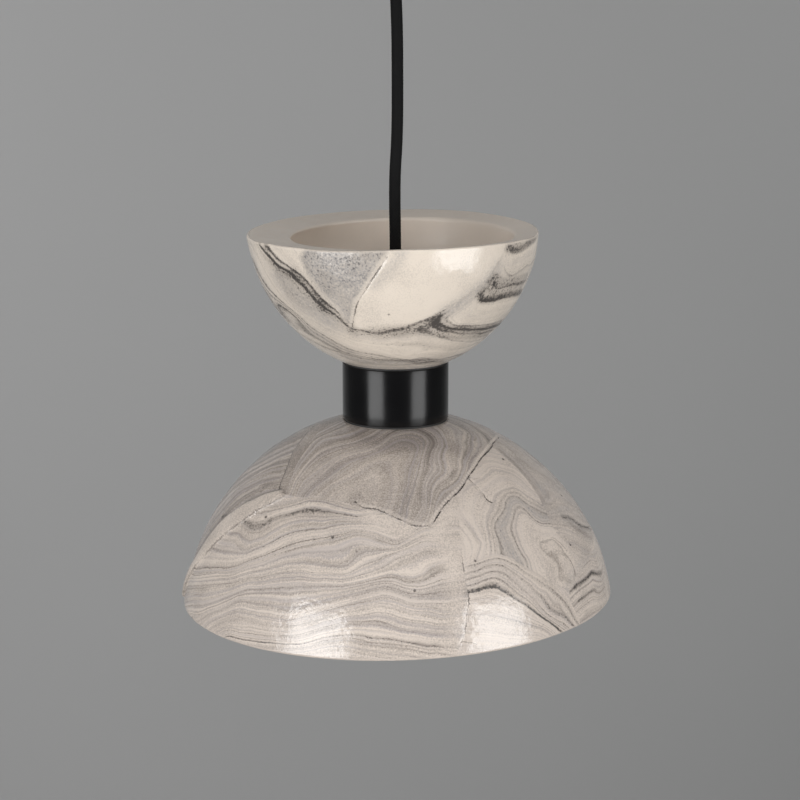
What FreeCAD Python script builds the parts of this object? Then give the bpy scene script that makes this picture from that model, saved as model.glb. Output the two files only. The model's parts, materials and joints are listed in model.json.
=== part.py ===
import FreeCAD, Part
import math
import os
import Sketcher

# Ceramic dome pendant light: a dome shade, a collar and an upward bowl on one threaded tube, hung by a cord
# from a ceiling canopy. Millimetres, +Z up, origin on the lamp's axis in the plane of the ceiling.

doc = FreeCAD.newDocument("dome_pendant")
dim = doc.addObject("Spreadsheet::Sheet", "dim")

SIZES = {
    # Cord and wires
    "cord_diameter": 6.6,
    "cord_hang": 170.0,
    "wire_diameter": 2.0,
    "wire_offset": 1.7,
    # Ceiling bracket
    "bracket_thickness": 1.5,
    "bracket_width": 18.0,
    "bracket_clearance": 0.4,
    "bracket_ear_depth": 16.0,
    "bracket_bend_radius": 1.0,
    "slot_spacing": 66.0,
    "slot_length": 10.0,
    "slot_width": 4.5,
    # Ceiling canopy
    "canopy_radius": 50.0,
    "canopy_height": 32.0,
    "canopy_wall": 1.2,
    "canopy_edge_radius": 5.0,
    "canopy_screw_depth": 9.0,
    # Fasteners
    "side_screw_radius": 2.0,
    "side_screw_head_radius": 3.6,
    "side_screw_head_height": 2.2,
    "clamp_screw_radius": 2.0,
    "small_screw_radius": 1.5,
    "small_screw_head_radius": 2.6,
    "small_screw_head_height": 1.8,
    "screw_clearance": 0.15,
    "clamp_gap": 0.1,
    # Threaded tube, nuts and washers
    "tube_radius": 5.0,
    "tube_wall": 1.1,
    "thread_clearance": 0.06,
    "hole_clearance": 0.3,
    "nut_across_corners": 16.2,
    "nut_height": 5.0,
    "ceiling_nut_height": 3.5,
    "lock_washer_radius": 9.0,
    "lock_washer_thickness": 0.8,
    # Cord grips
    "grip_wall": 2.0,
    "grip_bore_clearance": 0.3,
    "ceiling_grip_length": 18.0,
    "ceiling_grip_stud_length": 7.0,
    "pivot_depth": 4.0,
    "mouth_flare": 2.5,
    "bend_gap": 0.3,
    "ceiling_clamp_height": 12.0,
    "tail_stand": 2.0,
    "bowl_grip_length": 18.0,
    "bowl_grip_nose_wall": 1.4,
    "bowl_grip_nose_length": 4.0,
    "bowl_grip_socket_depth": 8.0,
    "bowl_clamp_height": 11.5,
    # Terminal block and earth terminal
    "block_depth": 15.0,
    "block_base_height": 5.0,
    "block_height": 12.0,
    "block_end_width": 1.0,
    "block_tab_length": 6.0,
    "block_pitch": 8.5,
    "block_lobe_width": 7.0,
    "sleeve_radius": 2.3,
    "sleeve_bore_radius": 1.6,
    "sleeve_recess": 1.0,
    "terminal_screw_spread": 4.0,
    "earth_screw_spacing": 8.0,
    "earth_washer_radius": 4.5,
    "earth_washer_thickness": 1.0,
    # Upper bowl and what holds it
    "bowl_rim_radius": 81.4,
    "bowl_height": 73.5,
    "bowl_belly_radius": 87.8,
    "bowl_lip_width": 19.5,
    "bowl_cavity_radius": 48.0,
    "bowl_floor_radius": 24.0,
    "bowl_floor_thickness": 10.0,
    "bowl_lip_rounding": 2.0,
    "bowl_hole_clearance": 1.0,
    "felt_inset": 4.0,
    "felt_thickness": 2.0,
    "bowl_washer_inset": 2.0,
    "bowl_washer_thickness": 2.0,
    # Collar and gaskets
    "collar_radius": 30.0,
    "collar_height": 32.0,
    "collar_wall": 2.0,
    "collar_chamfer": 0.5,
    "gasket_thickness": 1.0,
    "gasket_inset": 0.6,
    "gasket_width": 3.0,
    # Dome shade
    "dome_rim_radius": 123.0,
    "dome_height": 102.0,
    "dome_wall": 7.5,
    "dome_lip_rounding": 3.0,
    "dome_hole_clearance": 0.6,
    # Lampholder
    "skirt_flange_width": 1.7,
    "cap_height": 18.0,
    "cap_boss_radius": 8.0,
    "cap_boss_height": 4.0,
    "cap_shoulder_radius": 15.0,
    "cap_shoulder_drop": 6.0,
    "cap_shoulder_curve": 9.6,
    "cap_wall": 1.5,
    "cap_thread_depth": 6.0,
    "skirt_wall": 2.3,
    "skirt_length": 31.0,
    "insert_radius": 17.3,
    "insert_height": 8.0,
    "insert_depth": 2.0,
    "insert_clearance": 0.2,
    "shell_clearance": 0.4,
    "shell_wall": 0.5,
    "shell_gap": 1.5,
    "shell_length": 24.0,
    "shell_opening_gap": 1.5,
    "contact_width": 6.0,
    "contact_thickness": 0.5,
    "contact_reach": 2.7,
    "contact_half_length": 8.5,
    "holder_screw_place": 10.0,
    "holder_screw_radius": 2.0,
    "holder_screw_height": 4.0,
    "ring_inset": 1.0,
    "ring_height": 7.0,
    "ring_chamfer": 2.0,
    "ring_clearance": 0.15,
    "ring_notch_radius": 2.4,
    "ring_notch_count": 18,
    # Bulb
    "bulb_gap": 0.3,
    "bulb_contact_radius": 4.8,
    "bulb_contact_height": 1.5,
    "bulb_insulator_height": 3.0,
    "bulb_cap_radius": 13.1,
    "bulb_cap_height": 22.0,
    "bulb_cap_chamfer": 2.1,
    "bulb_neck_height": 16.0,
    "bulb_neck_inset": 2.0,
    "bulb_neck_curve": 26.0,
    "bulb_globe_radius": 22.5,
}

for row, (alias, number) in enumerate(SIZES.items(), 1):
    dim.set(f"A{row}", alias)
    dim.set(f"B{row}", str(number))
    dim.setAlias(f"B{row}", alias)
doc.recompute()

# Heights of the stack, from the ceiling down.
canopy_floor = "-dim.canopy_height"
mouth = canopy_floor + " - dim.ceiling_grip_length"
pivot = mouth + " + dim.pivot_depth"
tail_top = canopy_floor + " + dim.ceiling_grip_stud_length + dim.tail_stand"
bowl_grip_top = mouth + " - dim.cord_hang"
bowl_grip_base = bowl_grip_top + " - dim.bowl_grip_length"
bowl_nut_base = bowl_grip_base + " - dim.nut_height"
bowl_washer_base = bowl_nut_base + " - dim.bowl_washer_thickness"
bowl_felt_base = bowl_washer_base + " - dim.felt_thickness"
bowl_foot = bowl_felt_base + " - dim.bowl_floor_thickness"
collar_top = bowl_foot + " - dim.gasket_thickness"
collar_base = collar_top + " - dim.collar_height"
dome_seat = collar_base + " - dim.gasket_thickness"
dome_under_seat = dome_seat + " - dim.dome_wall"
dome_rim = dome_seat + " - dim.dome_height"
ring_gasket_base = dome_under_seat + " - dim.gasket_thickness"
ring_base = ring_gasket_base + " - dim.ring_height"
collar_nut_base = collar_top + " - dim.collar_wall - dim.nut_height"
cap_base = collar_nut_base + " - dim.cap_height"
skirt_base = collar_base + " - dim.skirt_length"
insert_top = cap_base + " - dim.insert_depth"
insert_base = insert_top + " - dim.insert_height"
tube_top = bowl_grip_base + " + dim.bowl_grip_socket_depth"
tube_base = collar_nut_base + " - dim.cap_thread_depth"
bulb_top = insert_base + " - dim.contact_reach - dim.bulb_gap"
bulb_contact_base = bulb_top + " - dim.bulb_contact_height"
bulb_insulator_base = bulb_contact_base + " - dim.bulb_insulator_height"
bulb_cap_base = bulb_insulator_base + " - dim.bulb_cap_height"
bulb_neck_base = bulb_cap_base + " - dim.bulb_neck_height"

# Sizes and holes that several pieces share.
bracket_end = (
    "sqrt((dim.canopy_radius - dim.canopy_wall)^2 - (dim.bracket_width / 2)^2) - dim.bracket_clearance"
)
grip_radius = "dim.tube_radius + dim.grip_wall"
block_half = "dim.block_pitch + dim.block_lobe_width / 2 + dim.block_end_width"
block_tab_middle = block_half + " + dim.block_tab_length / 2"
earth_screw_x = f"-({block_half} + dim.earth_screw_spacing)"
sleeve_length = "dim.block_depth - 2 * dim.sleeve_recess"
felt_radius = "dim.bowl_floor_radius - dim.felt_inset"
shell_radius = "dim.bulb_cap_radius + dim.shell_clearance + dim.shell_wall"
skirt_bore = shell_radius + " + dim.shell_gap"
insert_seat = "dim.insert_radius + dim.insert_clearance"
skirt_radius = insert_seat + " + dim.skirt_wall"
cap_radius = skirt_radius + " + dim.skirt_flange_width"
ring_radius = "dim.collar_radius - dim.ring_inset"
bulb_neck_radius = "dim.bulb_globe_radius - dim.bulb_neck_inset"
cord_bore = "dim.cord_diameter / 2 + dim.grip_bore_clearance"
tube_hole = "dim.tube_radius + dim.hole_clearance"
tapped_hole = "dim.tube_radius + dim.thread_clearance"
clamp_hole = "dim.clamp_screw_radius + dim.screw_clearance"
small_hole = "dim.small_screw_radius + dim.screw_clearance"
side_hole = "dim.side_screw_radius + dim.screw_clearance"

HALF_ROUND = "half round"
pieces = []


def size(expression):
    """The present value of an expression of the sheet."""
    return float(dim.evalExpression(expression))


def keep(piece, label):
    """Name a finished piece and put it on the list of those that are written."""
    piece.Label = label
    pieces.append(piece)
    return piece


def place(piece, z="0", x="0", y="0"):
    """Bind a piece's position to the sheet."""
    piece.setExpression("Placement.Base.x", x)
    piece.setExpression("Placement.Base.y", y)
    piece.setExpression("Placement.Base.z", z)


# Sketches and features

def new_body(label, z):
    body = doc.addObject("PartDesign::Body", label)
    place(body, z)
    return keep(body, label)


def new_sketch(body, role, name):
    sketch = body.newObject("Sketcher::SketchObject", name)
    plane = next(item for item in body.Origin.OriginFeatures if item.Role == role)
    sketch.AttachmentSupport = [(plane, "")]
    sketch.MapMode = "FlatFace"
    return sketch


def bind_constraint(sketch, expression, *constraint):
    index = sketch.addConstraint(Sketcher.Constraint(*constraint, size(expression)))
    sketch.setExpression(f"Constraints[{index}]", expression)


def arc_between(first, last, radius, convex):
    """An arc of an anticlockwise outline, and whether it starts at its first corner."""
    chord = last - first
    reach = math.sqrt(max(0, radius ** 2 - (chord.Length / 2) ** 2))
    left = FreeCAD.Vector(-chord.y, chord.x, 0).normalize()
    centre = (first + last) / 2 + left * (reach if convex else -reach)
    start, end = (first, last) if convex else (last, first)
    angles = [math.atan2(corner.y - centre.y, corner.x - centre.x) for corner in (start, end)]
    circle = Part.Circle(centre, FreeCAD.Vector(0, 0, 1), radius)
    return Part.ArcOfCircle(circle, angles[0], angles[1])


def draw_outline(sketch, corners, arcs=None):
    """Draw a closed anticlockwise outline. arcs gives the radius and the side of the curved edges by number.

    A half circle, along X or Y, has HALF_ROUND in place of its radius.
    """
    arcs = arcs or {}
    points = [FreeCAD.Vector(size(x), size(y), 0) for x, y in corners]
    edges = []
    for number, first in enumerate(points):
        last = points[(number + 1) % len(points)]
        if number in arcs:
            radius, side = arcs[number]
            convex = side == "convex"
            length = (last - first).Length / 2 if radius == HALF_ROUND else size(radius)
            edge = sketch.addGeometry(arc_between(first, last, length, convex))
            edges.append((edge, 1, 2) if convex else (edge, 2, 1))
        else:
            edge = sketch.addGeometry(Part.LineSegment(first, last))
            edges.append((edge, 1, 2))
    for number, (edge, start, end) in enumerate(edges):
        following, following_start, _ = edges[(number + 1) % len(edges)]
        sketch.addConstraint(Sketcher.Constraint("Coincident", edge, end, following, following_start))
    for (edge, start, _), (x, y) in zip(edges, corners):
        bind_constraint(sketch, x, "DistanceX", -1, 1, edge, start)
        bind_constraint(sketch, y, "DistanceY", -1, 1, edge, start)
    for number, (radius, _) in arcs.items():
        edge = edges[number][0]
        x, y = corners[number]
        if radius != HALF_ROUND:
            bind_constraint(sketch, radius, "Radius", edge)
        elif x == corners[(number + 1) % len(corners)][0]:
            bind_constraint(sketch, x, "DistanceX", -1, 1, edge, 3)
        else:
            bind_constraint(sketch, y, "DistanceY", -1, 1, edge, 3)


def draw_circle(sketch, radius, x="0", y="0"):
    centre = FreeCAD.Vector(size(x), size(y), 0)
    circle = sketch.addGeometry(Part.Circle(centre, FreeCAD.Vector(0, 0, 1), size(radius)))
    bind_constraint(sketch, x, "DistanceX", -1, 1, circle, 3)
    bind_constraint(sketch, y, "DistanceY", -1, 1, circle, 3)
    bind_constraint(sketch, radius, "Radius", circle)


def draw_slot(sketch, x, length, width):
    """A slot with round ends, along X."""
    half_straight = f"({length} - {width}) / 2"
    half_width = f"({width}) / 2"
    left, right = f"{x} - {half_straight}", f"{x} + {half_straight}"
    below, above = f"-{half_width}", half_width
    corners = [(left, below), (right, below), (right, above), (left, above)]
    draw_outline(sketch, corners, {1: (HALF_ROUND, "convex"), 3: (HALF_ROUND, "convex")})


def turn(body, corners, arcs=None):
    """Turn an outline of radius and height corners about Z."""
    sketch = new_sketch(body, "XZ_Plane", "profile")
    draw_outline(sketch, corners, arcs)
    revolution = body.newObject("PartDesign::Revolution", "turned")
    revolution.Profile = sketch
    revolution.ReferenceAxis = (sketch, ["V_Axis"])
    revolution.Angle = 360
    doc.recompute()
    return revolution


def pad(body, sketch, length, side_type="One side"):
    feature = body.newObject("PartDesign::Pad", "pad")
    feature.Profile = sketch
    feature.setExpression("Length", length)
    feature.SideType = side_type
    doc.recompute()
    return feature


def cut_through(body, sketch, side_type="Symmetric", backwards=False):
    """Cut a sketch through the whole body, and make sure that it cut."""
    volume = body.Shape.Volume
    feature = body.newObject("PartDesign::Pocket", "cut")
    feature.Profile = sketch
    feature.Type = "ThroughAll"
    feature.SideType = side_type
    feature.Reversed = backwards
    doc.recompute()
    assert body.Shape.Volume < volume - 1e-3, body.Label + ": nothing was cut"
    return feature


def circles_at(shape, height):
    """The names of a shape's circular edges at a height."""
    names = []
    for number, edge in enumerate(shape.Edges, 1):
        if edge.Curve.TypeId == "Part::GeomCircle" and abs(edge.Curve.Center.z - height) < 1e-6:
            if abs(abs(edge.Curve.Axis.z) - 1) < 1e-6:
                names.append(f"Edge{number}")
    return names


def dress_edges(body, kind, edges, amount):
    """Round or chamfer edges of a body's last feature."""
    base = body.Tip
    feature = body.newObject("PartDesign::" + kind, kind.lower())
    feature.Base = (base, edges)
    feature.setExpression("Radius" if kind == "Fillet" else "Size", amount)
    doc.recompute()
    return feature


# Plain shapes

def cylinder(name, radius, height):
    shape = doc.addObject("Part::Cylinder", name)
    shape.setExpression("Radius", radius)
    shape.setExpression("Height", height)
    return shape


def join(kind, name, base, tool):
    shape = doc.addObject("Part::" + kind, name)
    shape.Base = base
    shape.Tool = tool
    return shape


def bored(label, blank, bore, height, z):
    """A blank of a given height with a bore along Z."""
    drill = cylinder(label + "_bore", bore, height + " + 2")
    place(drill, "-1")
    shape = join("Cut", label, blank, drill)
    place(shape, z)
    return keep(shape, label)


def washer(label, outer, inner, thickness, z):
    return bored(label, cylinder(label + "_disc", outer, thickness), inner, thickness, z)


def hex_nut(label, height, z):
    blank = doc.addObject("Part::Prism", label + "_blank")
    blank.Polygon = 6
    blank.setExpression("Circumradius", "dim.nut_across_corners / 2")
    blank.setExpression("Height", height)
    return bored(label, blank, tapped_hole, height, z)


def headed_screw(name, radius, length, head_radius, head_height):
    """A screw along +Z, with its head below zero."""
    head = cylinder(name + "_head", head_radius, head_height)
    place(head, "-(" + head_height + ")")
    return join("Fuse", name, head, cylinder(name + "_shank", radius, length))


def group(label, members):
    compound = doc.addObject("Part::Compound", label)
    compound.Links = members
    return keep(compound, label)


def bent_tube(label, route, diameter):
    """A tube along straight runs joined by tangent arcs that are as large as the runs allow."""
    points = [FreeCAD.Vector(*point) for point in route]
    edges = []
    radii = []
    start = points[0]
    for before, corner, after in zip(points, points[1:], points[2:]):
        back = (before - corner).normalize()
        ahead = (after - corner).normalize()
        half_turn = (math.pi - back.getAngle(ahead)) / 2
        reach = 0.45 * min((corner - before).Length, (after - corner).Length)
        radius = reach / math.tan(half_turn)
        middle = (back + ahead).normalize()
        arc_start = corner + back * reach
        arc_end = corner + ahead * reach
        arc_middle = corner + middle * (radius / math.cos(half_turn) - radius)
        edges.append(Part.LineSegment(start, arc_start).toShape())
        edges.append(Part.Arc(arc_start, arc_middle, arc_end).toShape())
        radii.append(round(radius, 1))
        start = arc_end
    edges.append(Part.LineSegment(start, points[-1]).toShape())
    path = Part.Wire(edges)
    section = Part.Circle(points[0], points[1] - points[0], diameter / 2).toShape()
    solid = path.makePipeShell([Part.Wire([section])], True, False)
    expected = math.pi * diameter ** 2 / 4 * path.Length
    share = solid.Volume / expected
    print(f"{label}: {path.Length:.1f} mm long, radii {radii}, volume {share:.4f} of expected")
    assert abs(share - 1) < 0.005, label + ": wrong volume"
    tube = doc.addObject("Part::Feature", label)
    tube.Shape = solid
    return keep(tube, label)


# Ceiling bracket: a strip with ears bent down at both ends

def make_bracket():
    body = new_body("ceiling_bracket", "0")
    outer = bracket_end
    inner = outer + " - dim.bracket_thickness"
    ear = "-dim.bracket_ear_depth"
    under = "-dim.bracket_thickness"
    sketch = new_sketch(body, "XZ_Plane", "strip")
    corners = [(f"-({outer})", ear), (f"-({inner})", ear), (f"-({inner})", under), (inner, under)]
    corners += [(inner, ear), (outer, ear), (outer, "0"), (f"-({outer})", "0")]
    draw_outline(sketch, corners)
    strip = pad(body, sketch, "dim.bracket_width", "Symmetric")
    bends = []
    for number, edge in enumerate(strip.Shape.Edges, 1):
        middle = edge.CenterOfMass
        along_y = abs(edge.tangentAt(edge.FirstParameter).y) > 0.99
        if along_y and middle.z > -1e-6 and abs(middle.x) > size(inner):
            bends.append(f"Edge{number}")
    dress_edges(body, "Fillet", bends, "dim.bracket_bend_radius")
    holes = new_sketch(body, "XY_Plane", "holes")
    for side in ("-", ""):
        draw_slot(holes, side + "dim.slot_spacing / 2", "dim.slot_length", "dim.slot_width")
    draw_circle(holes, side_hole, earth_screw_x)
    draw_circle(holes, small_hole, block_tab_middle)
    cut_through(body, holes)
    ears = new_sketch(body, "YZ_Plane", "ear_holes")
    draw_circle(ears, side_hole, "0", "-dim.canopy_screw_depth")
    cut_through(body, ears)


# Ceiling canopy: a spun cup, open upwards, with a hole for the cord grip and one for each side screw

def make_canopy():
    body = new_body("ceiling_canopy", canopy_floor)
    outer = "dim.canopy_radius"
    inner = outer + " - dim.canopy_wall"
    corners = [(tube_hole, "0"), (outer, "0"), (outer, "dim.canopy_height"), (inner, "dim.canopy_height")]
    corners += [(inner, "dim.canopy_wall"), (tube_hole, "dim.canopy_wall")]
    turn(body, corners)
    for height, radius, amount in (
        (0, size(outer), "dim.canopy_edge_radius"),
        (size("dim.canopy_wall"), size(inner), "dim.canopy_edge_radius - dim.canopy_wall"),
    ):
        shape = body.Tip.Shape
        names = circles_at(shape, height)
        widest = [name for name in names if abs(shape.getElement(name).Curve.Radius - radius) < 1e-6]
        dress_edges(body, "Fillet", widest, amount)
    holes = new_sketch(body, "YZ_Plane", "screw_holes")
    draw_circle(holes, side_hole, "0", "dim.canopy_height - dim.canopy_screw_depth")
    cut_through(body, holes)


def make_canopy_screws():
    screws = []
    for name, side, angle in (("left", "-", 90), ("right", "", -90)):
        length = f"dim.canopy_radius - ({bracket_end}) + 2 * dim.bracket_thickness"
        screw = headed_screw(
            "canopy_screw_" + name, "dim.side_screw_radius", length,
            "dim.side_screw_head_radius", "dim.side_screw_head_height",
        )
        screw.Placement.Rotation = FreeCAD.Rotation(FreeCAD.Vector(0, 1, 0), angle)
        place(screw, "-dim.canopy_screw_depth", side + "dim.canopy_radius")
        screws.append(screw)
    group("canopy_screws", screws)


# Cord grips. The ceiling one has a bell mouth, so that the cord can swing without a sharp bend.

def make_clamp_screw(label, z):
    inner_end = "dim.cord_diameter / 2 + dim.clamp_gap"
    screw = cylinder(label, "dim.clamp_screw_radius", f"{grip_radius} - ({inner_end})")
    screw.Placement.Rotation = FreeCAD.Rotation(FreeCAD.Vector(0, 1, 0), 90)
    place(screw, z, inner_end)
    keep(screw, label)


def cut_clamp_hole(body, height):
    sketch = new_sketch(body, "YZ_Plane", "clamp_hole")
    draw_circle(sketch, clamp_hole, "0", height)
    cut_through(body, sketch, "One side", True)


def make_ceiling_grip():
    body = new_body("ceiling_cord_grip", mouth)
    length = "dim.ceiling_grip_length"
    stud_top = length + " + dim.ceiling_grip_stud_length"
    mouth_radius = "dim.cord_diameter / 2 + dim.mouth_flare"
    corners = [(mouth_radius, "0"), (grip_radius, "0"), (grip_radius, length)]
    corners += [("dim.tube_radius", length), ("dim.tube_radius", stud_top), (cord_bore, stud_top)]
    corners += [(cord_bore, "dim.pivot_depth")]
    turn(body, corners)
    cut_clamp_hole(body, "dim.ceiling_clamp_height")
    make_clamp_screw("ceiling_grip_screw", mouth + " + dim.ceiling_clamp_height")
    washer_base = canopy_floor + " + dim.canopy_wall"
    thickness = "dim.lock_washer_thickness"
    washer("ceiling_grip_washer", "dim.lock_washer_radius", tube_hole, thickness, washer_base)
    hex_nut("ceiling_grip_nut", "dim.ceiling_nut_height", f"{washer_base} + {thickness}")


def make_bowl_grip():
    body = new_body("bowl_cord_grip", bowl_grip_base)
    length = "dim.bowl_grip_length"
    socket = "dim.bowl_grip_socket_depth + dim.hole_clearance"
    corners = [(tapped_hole, "0"), (grip_radius, "0")]
    corners += [(grip_radius, length + " - dim.bowl_grip_nose_length")]
    corners += [(cord_bore + " + dim.bowl_grip_nose_wall", length), (cord_bore, length)]
    corners += [(cord_bore, socket), (tapped_hole, socket)]
    turn(body, corners)
    cut_clamp_hole(body, "dim.bowl_clamp_height")
    make_clamp_screw("bowl_grip_screw", bowl_grip_base + " + dim.bowl_clamp_height")


# Terminal block: three lobes on a base strip, each with a brass sleeve across and two clamp screws from below

def make_terminal_block():
    under_bracket = "-dim.bracket_thickness"
    body = new_body("terminal_block", under_bracket)
    base = new_sketch(body, "XZ_Plane", "base")
    end = f"-({block_half})"
    tab_end = block_half + " + dim.block_tab_length"
    low = "-dim.block_base_height"
    draw_outline(base, [(end, low), (tab_end, low), (tab_end, "0"), (end, "0")])
    pad(body, base, "dim.block_depth", "Symmetric")
    lobe = new_sketch(body, "XZ_Plane", "lobe")
    half_lobe = "dim.block_lobe_width / 2"
    left, right = f"-dim.block_pitch - {half_lobe}", f"-dim.block_pitch + {half_lobe}"
    round_start = f"-dim.block_height + {half_lobe}"
    corners = [(left, round_start), (right, round_start), (right, low), (left, low)]
    draw_outline(lobe, corners, {0: (HALF_ROUND, "convex")})
    lobe_pad = pad(body, lobe, "dim.block_depth", "Symmetric")
    repeat_along_x(body, lobe_pad, lobe)
    bores = new_sketch(body, "XZ_Plane", "bores")
    tab_hole = new_sketch(body, "XY_Plane", "tab_hole")
    screw_holes = new_sketch(body, "XY_Plane", "screw_holes")
    sleeve_height = "-dim.block_height + dim.block_lobe_width / 2"
    for column in (-1, 0, 1):
        x = f"{column} * dim.block_pitch"
        draw_circle(bores, "dim.sleeve_radius", x, sleeve_height)
        for row in (-1, 1):
            draw_circle(screw_holes, small_hole, x, f"{row} * dim.terminal_screw_spread")
    draw_circle(tab_hole, small_hole, block_tab_middle)
    cut_through(body, bores)
    cut_through(body, screw_holes)
    cut_through(body, tab_hole)
    make_terminal_metal(f"{under_bracket} {sleeve_height}")
    length = "dim.block_base_height + dim.bracket_thickness / 2"
    screw = headed_screw(
        "block_screw", "dim.small_screw_radius", length,
        "dim.small_screw_head_radius", "dim.small_screw_head_height",
    )
    place(screw, f"{under_bracket} {low}", block_tab_middle)
    keep(screw, "block_screw")


def repeat_along_x(body, feature, sketch):
    """Three of a feature, one block pitch apart."""
    pattern = body.newObject("PartDesign::LinearPattern", "row")
    pattern.Originals = [feature]
    pattern.Direction = (sketch, ["H_Axis"])
    pattern.setExpression("Length", "2 * dim.block_pitch")
    pattern.Occurrences = 3
    body.Tip = pattern
    doc.recompute()


def make_terminal_metal(sleeve_height):
    """The brass sleeves in the block and the screws that stop above the wires."""
    sleeves = []
    screws = []
    for column in (-1, 0, 1):
        x = f"{column} * dim.block_pitch"
        outside = cylinder("sleeve_blank", "dim.sleeve_radius - dim.screw_clearance", sleeve_length)
        bore = cylinder("sleeve_bore", "dim.sleeve_bore_radius", sleeve_length)
        sleeve = join("Cut", "sleeve", outside, bore)
        sleeve.Placement.Rotation = FreeCAD.Rotation(FreeCAD.Vector(1, 0, 0), -90)
        place(sleeve, sleeve_height, x, f"-({sleeve_length}) / 2")
        sleeves.append(sleeve)
        for row in (-1, 1):
            screw = cylinder("terminal_screw", "dim.small_screw_radius", "dim.small_screw_head_height")
            screw_base = sleeve_height + " - dim.sleeve_radius - dim.small_screw_head_height"
            place(screw, screw_base, x, f"{row} * dim.terminal_screw_spread")
            screws.append(screw)
    group("terminal_sleeves", sleeves)
    group("terminal_screws", screws)


def make_earth_terminal():
    washer_base = "-dim.bracket_thickness - dim.earth_washer_thickness"
    plate = washer(
        "earth_washer", "dim.earth_washer_radius", side_hole, "dim.earth_washer_thickness", washer_base,
    )
    place(plate, washer_base, earth_screw_x)
    screw = headed_screw(
        "earth_screw", "dim.side_screw_radius", "dim.earth_washer_thickness + dim.bracket_thickness / 2",
        "dim.side_screw_head_radius", "dim.side_screw_head_height",
    )
    place(screw, washer_base, earth_screw_x)
    keep(screw, "earth_screw")


# Cord: the tail in the canopy, the bend in the bell mouth and the stretch that hangs

CORD_ROUTE = [
    (0.0, 0.0, -49.6),
    (1.0, 0.0, -69.0),
    (1.2, 0.0, -101.0),
    (1.1, 0.0, -131.0),
    (-0.6, 0.0, -157.0),
    (0.1, 0.0, -193.0),
    (0.0, 0.0, -228.5),
]


def make_cord():
    radius = "dim.cord_diameter / 2"
    tail_base = f"{pivot} + {radius} + dim.bend_gap"
    tail = cylinder("cord_tail", radius, f"{tail_top} - ({tail_base})")
    place(tail, tail_base)
    keep(tail, "cord_tail")
    bend = doc.addObject("Part::Sphere", "cord_bend")
    bend.setExpression("Radius", radius)
    place(bend, pivot)
    keep(bend, "cord_bend")
    bent_tube("cord_drop", CORD_ROUTE, size("dim.cord_diameter"))


def make_ceiling_wires():
    """Live and neutral to two lobes of the block, earth to its screw on the bracket."""
    start = size(tail_top)
    offset = size("dim.wire_offset")
    thickness = size("dim.wire_diameter")
    pitch = size("dim.block_pitch")
    sleeve = size("-dim.bracket_thickness - dim.block_height + dim.block_lobe_width / 2")
    block_bottom = size("-dim.bracket_thickness - dim.block_height")
    under_block = start + 0.6 * (block_bottom - start)
    beside_block = size("dim.block_depth / 2") + 2.8 * thickness
    inside_sleeve = size(f"({sleeve_length}) / 2") - 1.2 * thickness
    for name, x, lobe in (("live", -offset, -pitch), ("neutral", offset, 0.0)):
        route = [(x, 0, start), (x, 0, under_block), (lobe, -beside_block, under_block)]
        route += [(lobe, -beside_block, sleeve), (lobe, -inside_sleeve, sleeve)]
        bent_tube(f"ceiling_{name}_wire", route, thickness)
    screw_x = size(earth_screw_x)
    head_side = size("dim.side_screw_head_radius + dim.screw_clearance")
    head_height = size(
        "-dim.bracket_thickness - dim.earth_washer_thickness - dim.side_screw_head_height / 2"
    )
    away = head_side + 3 * thickness
    route = [(0, offset, start), (0, offset, under_block), (screw_x, away, under_block)]
    route += [(screw_x, away, head_height), (screw_x, head_side, head_height)]
    bent_tube("ceiling_earth_wire", route, thickness)


# Upper bowl: one belly curve outside, a wide flat lip that overhangs the inside a little, a flat floor, and a
# foot as wide as the collar

def make_bowl():
    body = new_body("upper_bowl", bowl_foot)
    hole = "dim.tube_radius + dim.bowl_hole_clearance"
    height = "dim.bowl_height"
    floor = "dim.bowl_floor_thickness"
    corners = [(hole, "0"), ("dim.collar_radius", "0"), ("dim.bowl_rim_radius", height)]
    corners += [("dim.bowl_rim_radius - dim.bowl_lip_width", height)]
    corners += [("dim.bowl_floor_radius", floor), (hole, floor)]
    arcs = {1: ("dim.bowl_belly_radius", "convex"), 3: ("dim.bowl_cavity_radius", "concave")}
    turned = turn(body, corners, arcs)
    dress_edges(body, "Fillet", circles_at(turned.Shape, size(height)), "dim.bowl_lip_rounding")


def make_bowl_fixings():
    washer("bowl_felt", felt_radius, tube_hole, "dim.felt_thickness", bowl_felt_base)
    plate_radius = felt_radius + " - dim.bowl_washer_inset"
    washer("bowl_washer", plate_radius, tube_hole, "dim.bowl_washer_thickness", bowl_washer_base)
    hex_nut("bowl_nut", "dim.nut_height", bowl_nut_base)
    gasket_radius = "dim.collar_radius - dim.gasket_inset"
    washer("bowl_gasket", gasket_radius, tube_hole, "dim.gasket_thickness", collar_top)
    tube_length = f"{tube_top} - ({tube_base})"
    washer("threaded_tube", "dim.tube_radius", "dim.tube_radius - dim.tube_wall", tube_length, tube_base)
    hex_nut("collar_nut", "dim.nut_height", collar_nut_base)


# Collar: a cup, open downwards, over the lampholder

def make_collar():
    body = new_body("collar", collar_base)
    outer = "dim.collar_radius"
    inner = outer + " - dim.collar_wall"
    height = "dim.collar_height"
    ceiling = height + " - dim.collar_wall"
    corners = [(inner, "0"), (outer, "0"), (outer, height), (tube_hole, height), (tube_hole, ceiling)]
    corners += [(inner, ceiling)]
    turned = turn(body, corners)
    edges = [
        name for name in circles_at(turned.Shape, 0) + circles_at(turned.Shape, size(height))
        if turned.Shape.getElement(name).Curve.Radius > size(inner) + 1e-6
    ]
    dress_edges(body, "Chamfer", edges, "dim.collar_chamfer")
    gasket_outer = outer + " - dim.gasket_inset"
    gasket_inner = gasket_outer + " - dim.gasket_width"
    washer("collar_gasket", gasket_outer, gasket_inner, "dim.gasket_thickness", dome_seat)


# Dome shade: a turned cap of a sphere, shelled from below, with a flat seat as wide as the collar, a hole for
# the lampholder and a rounded lip

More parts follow.
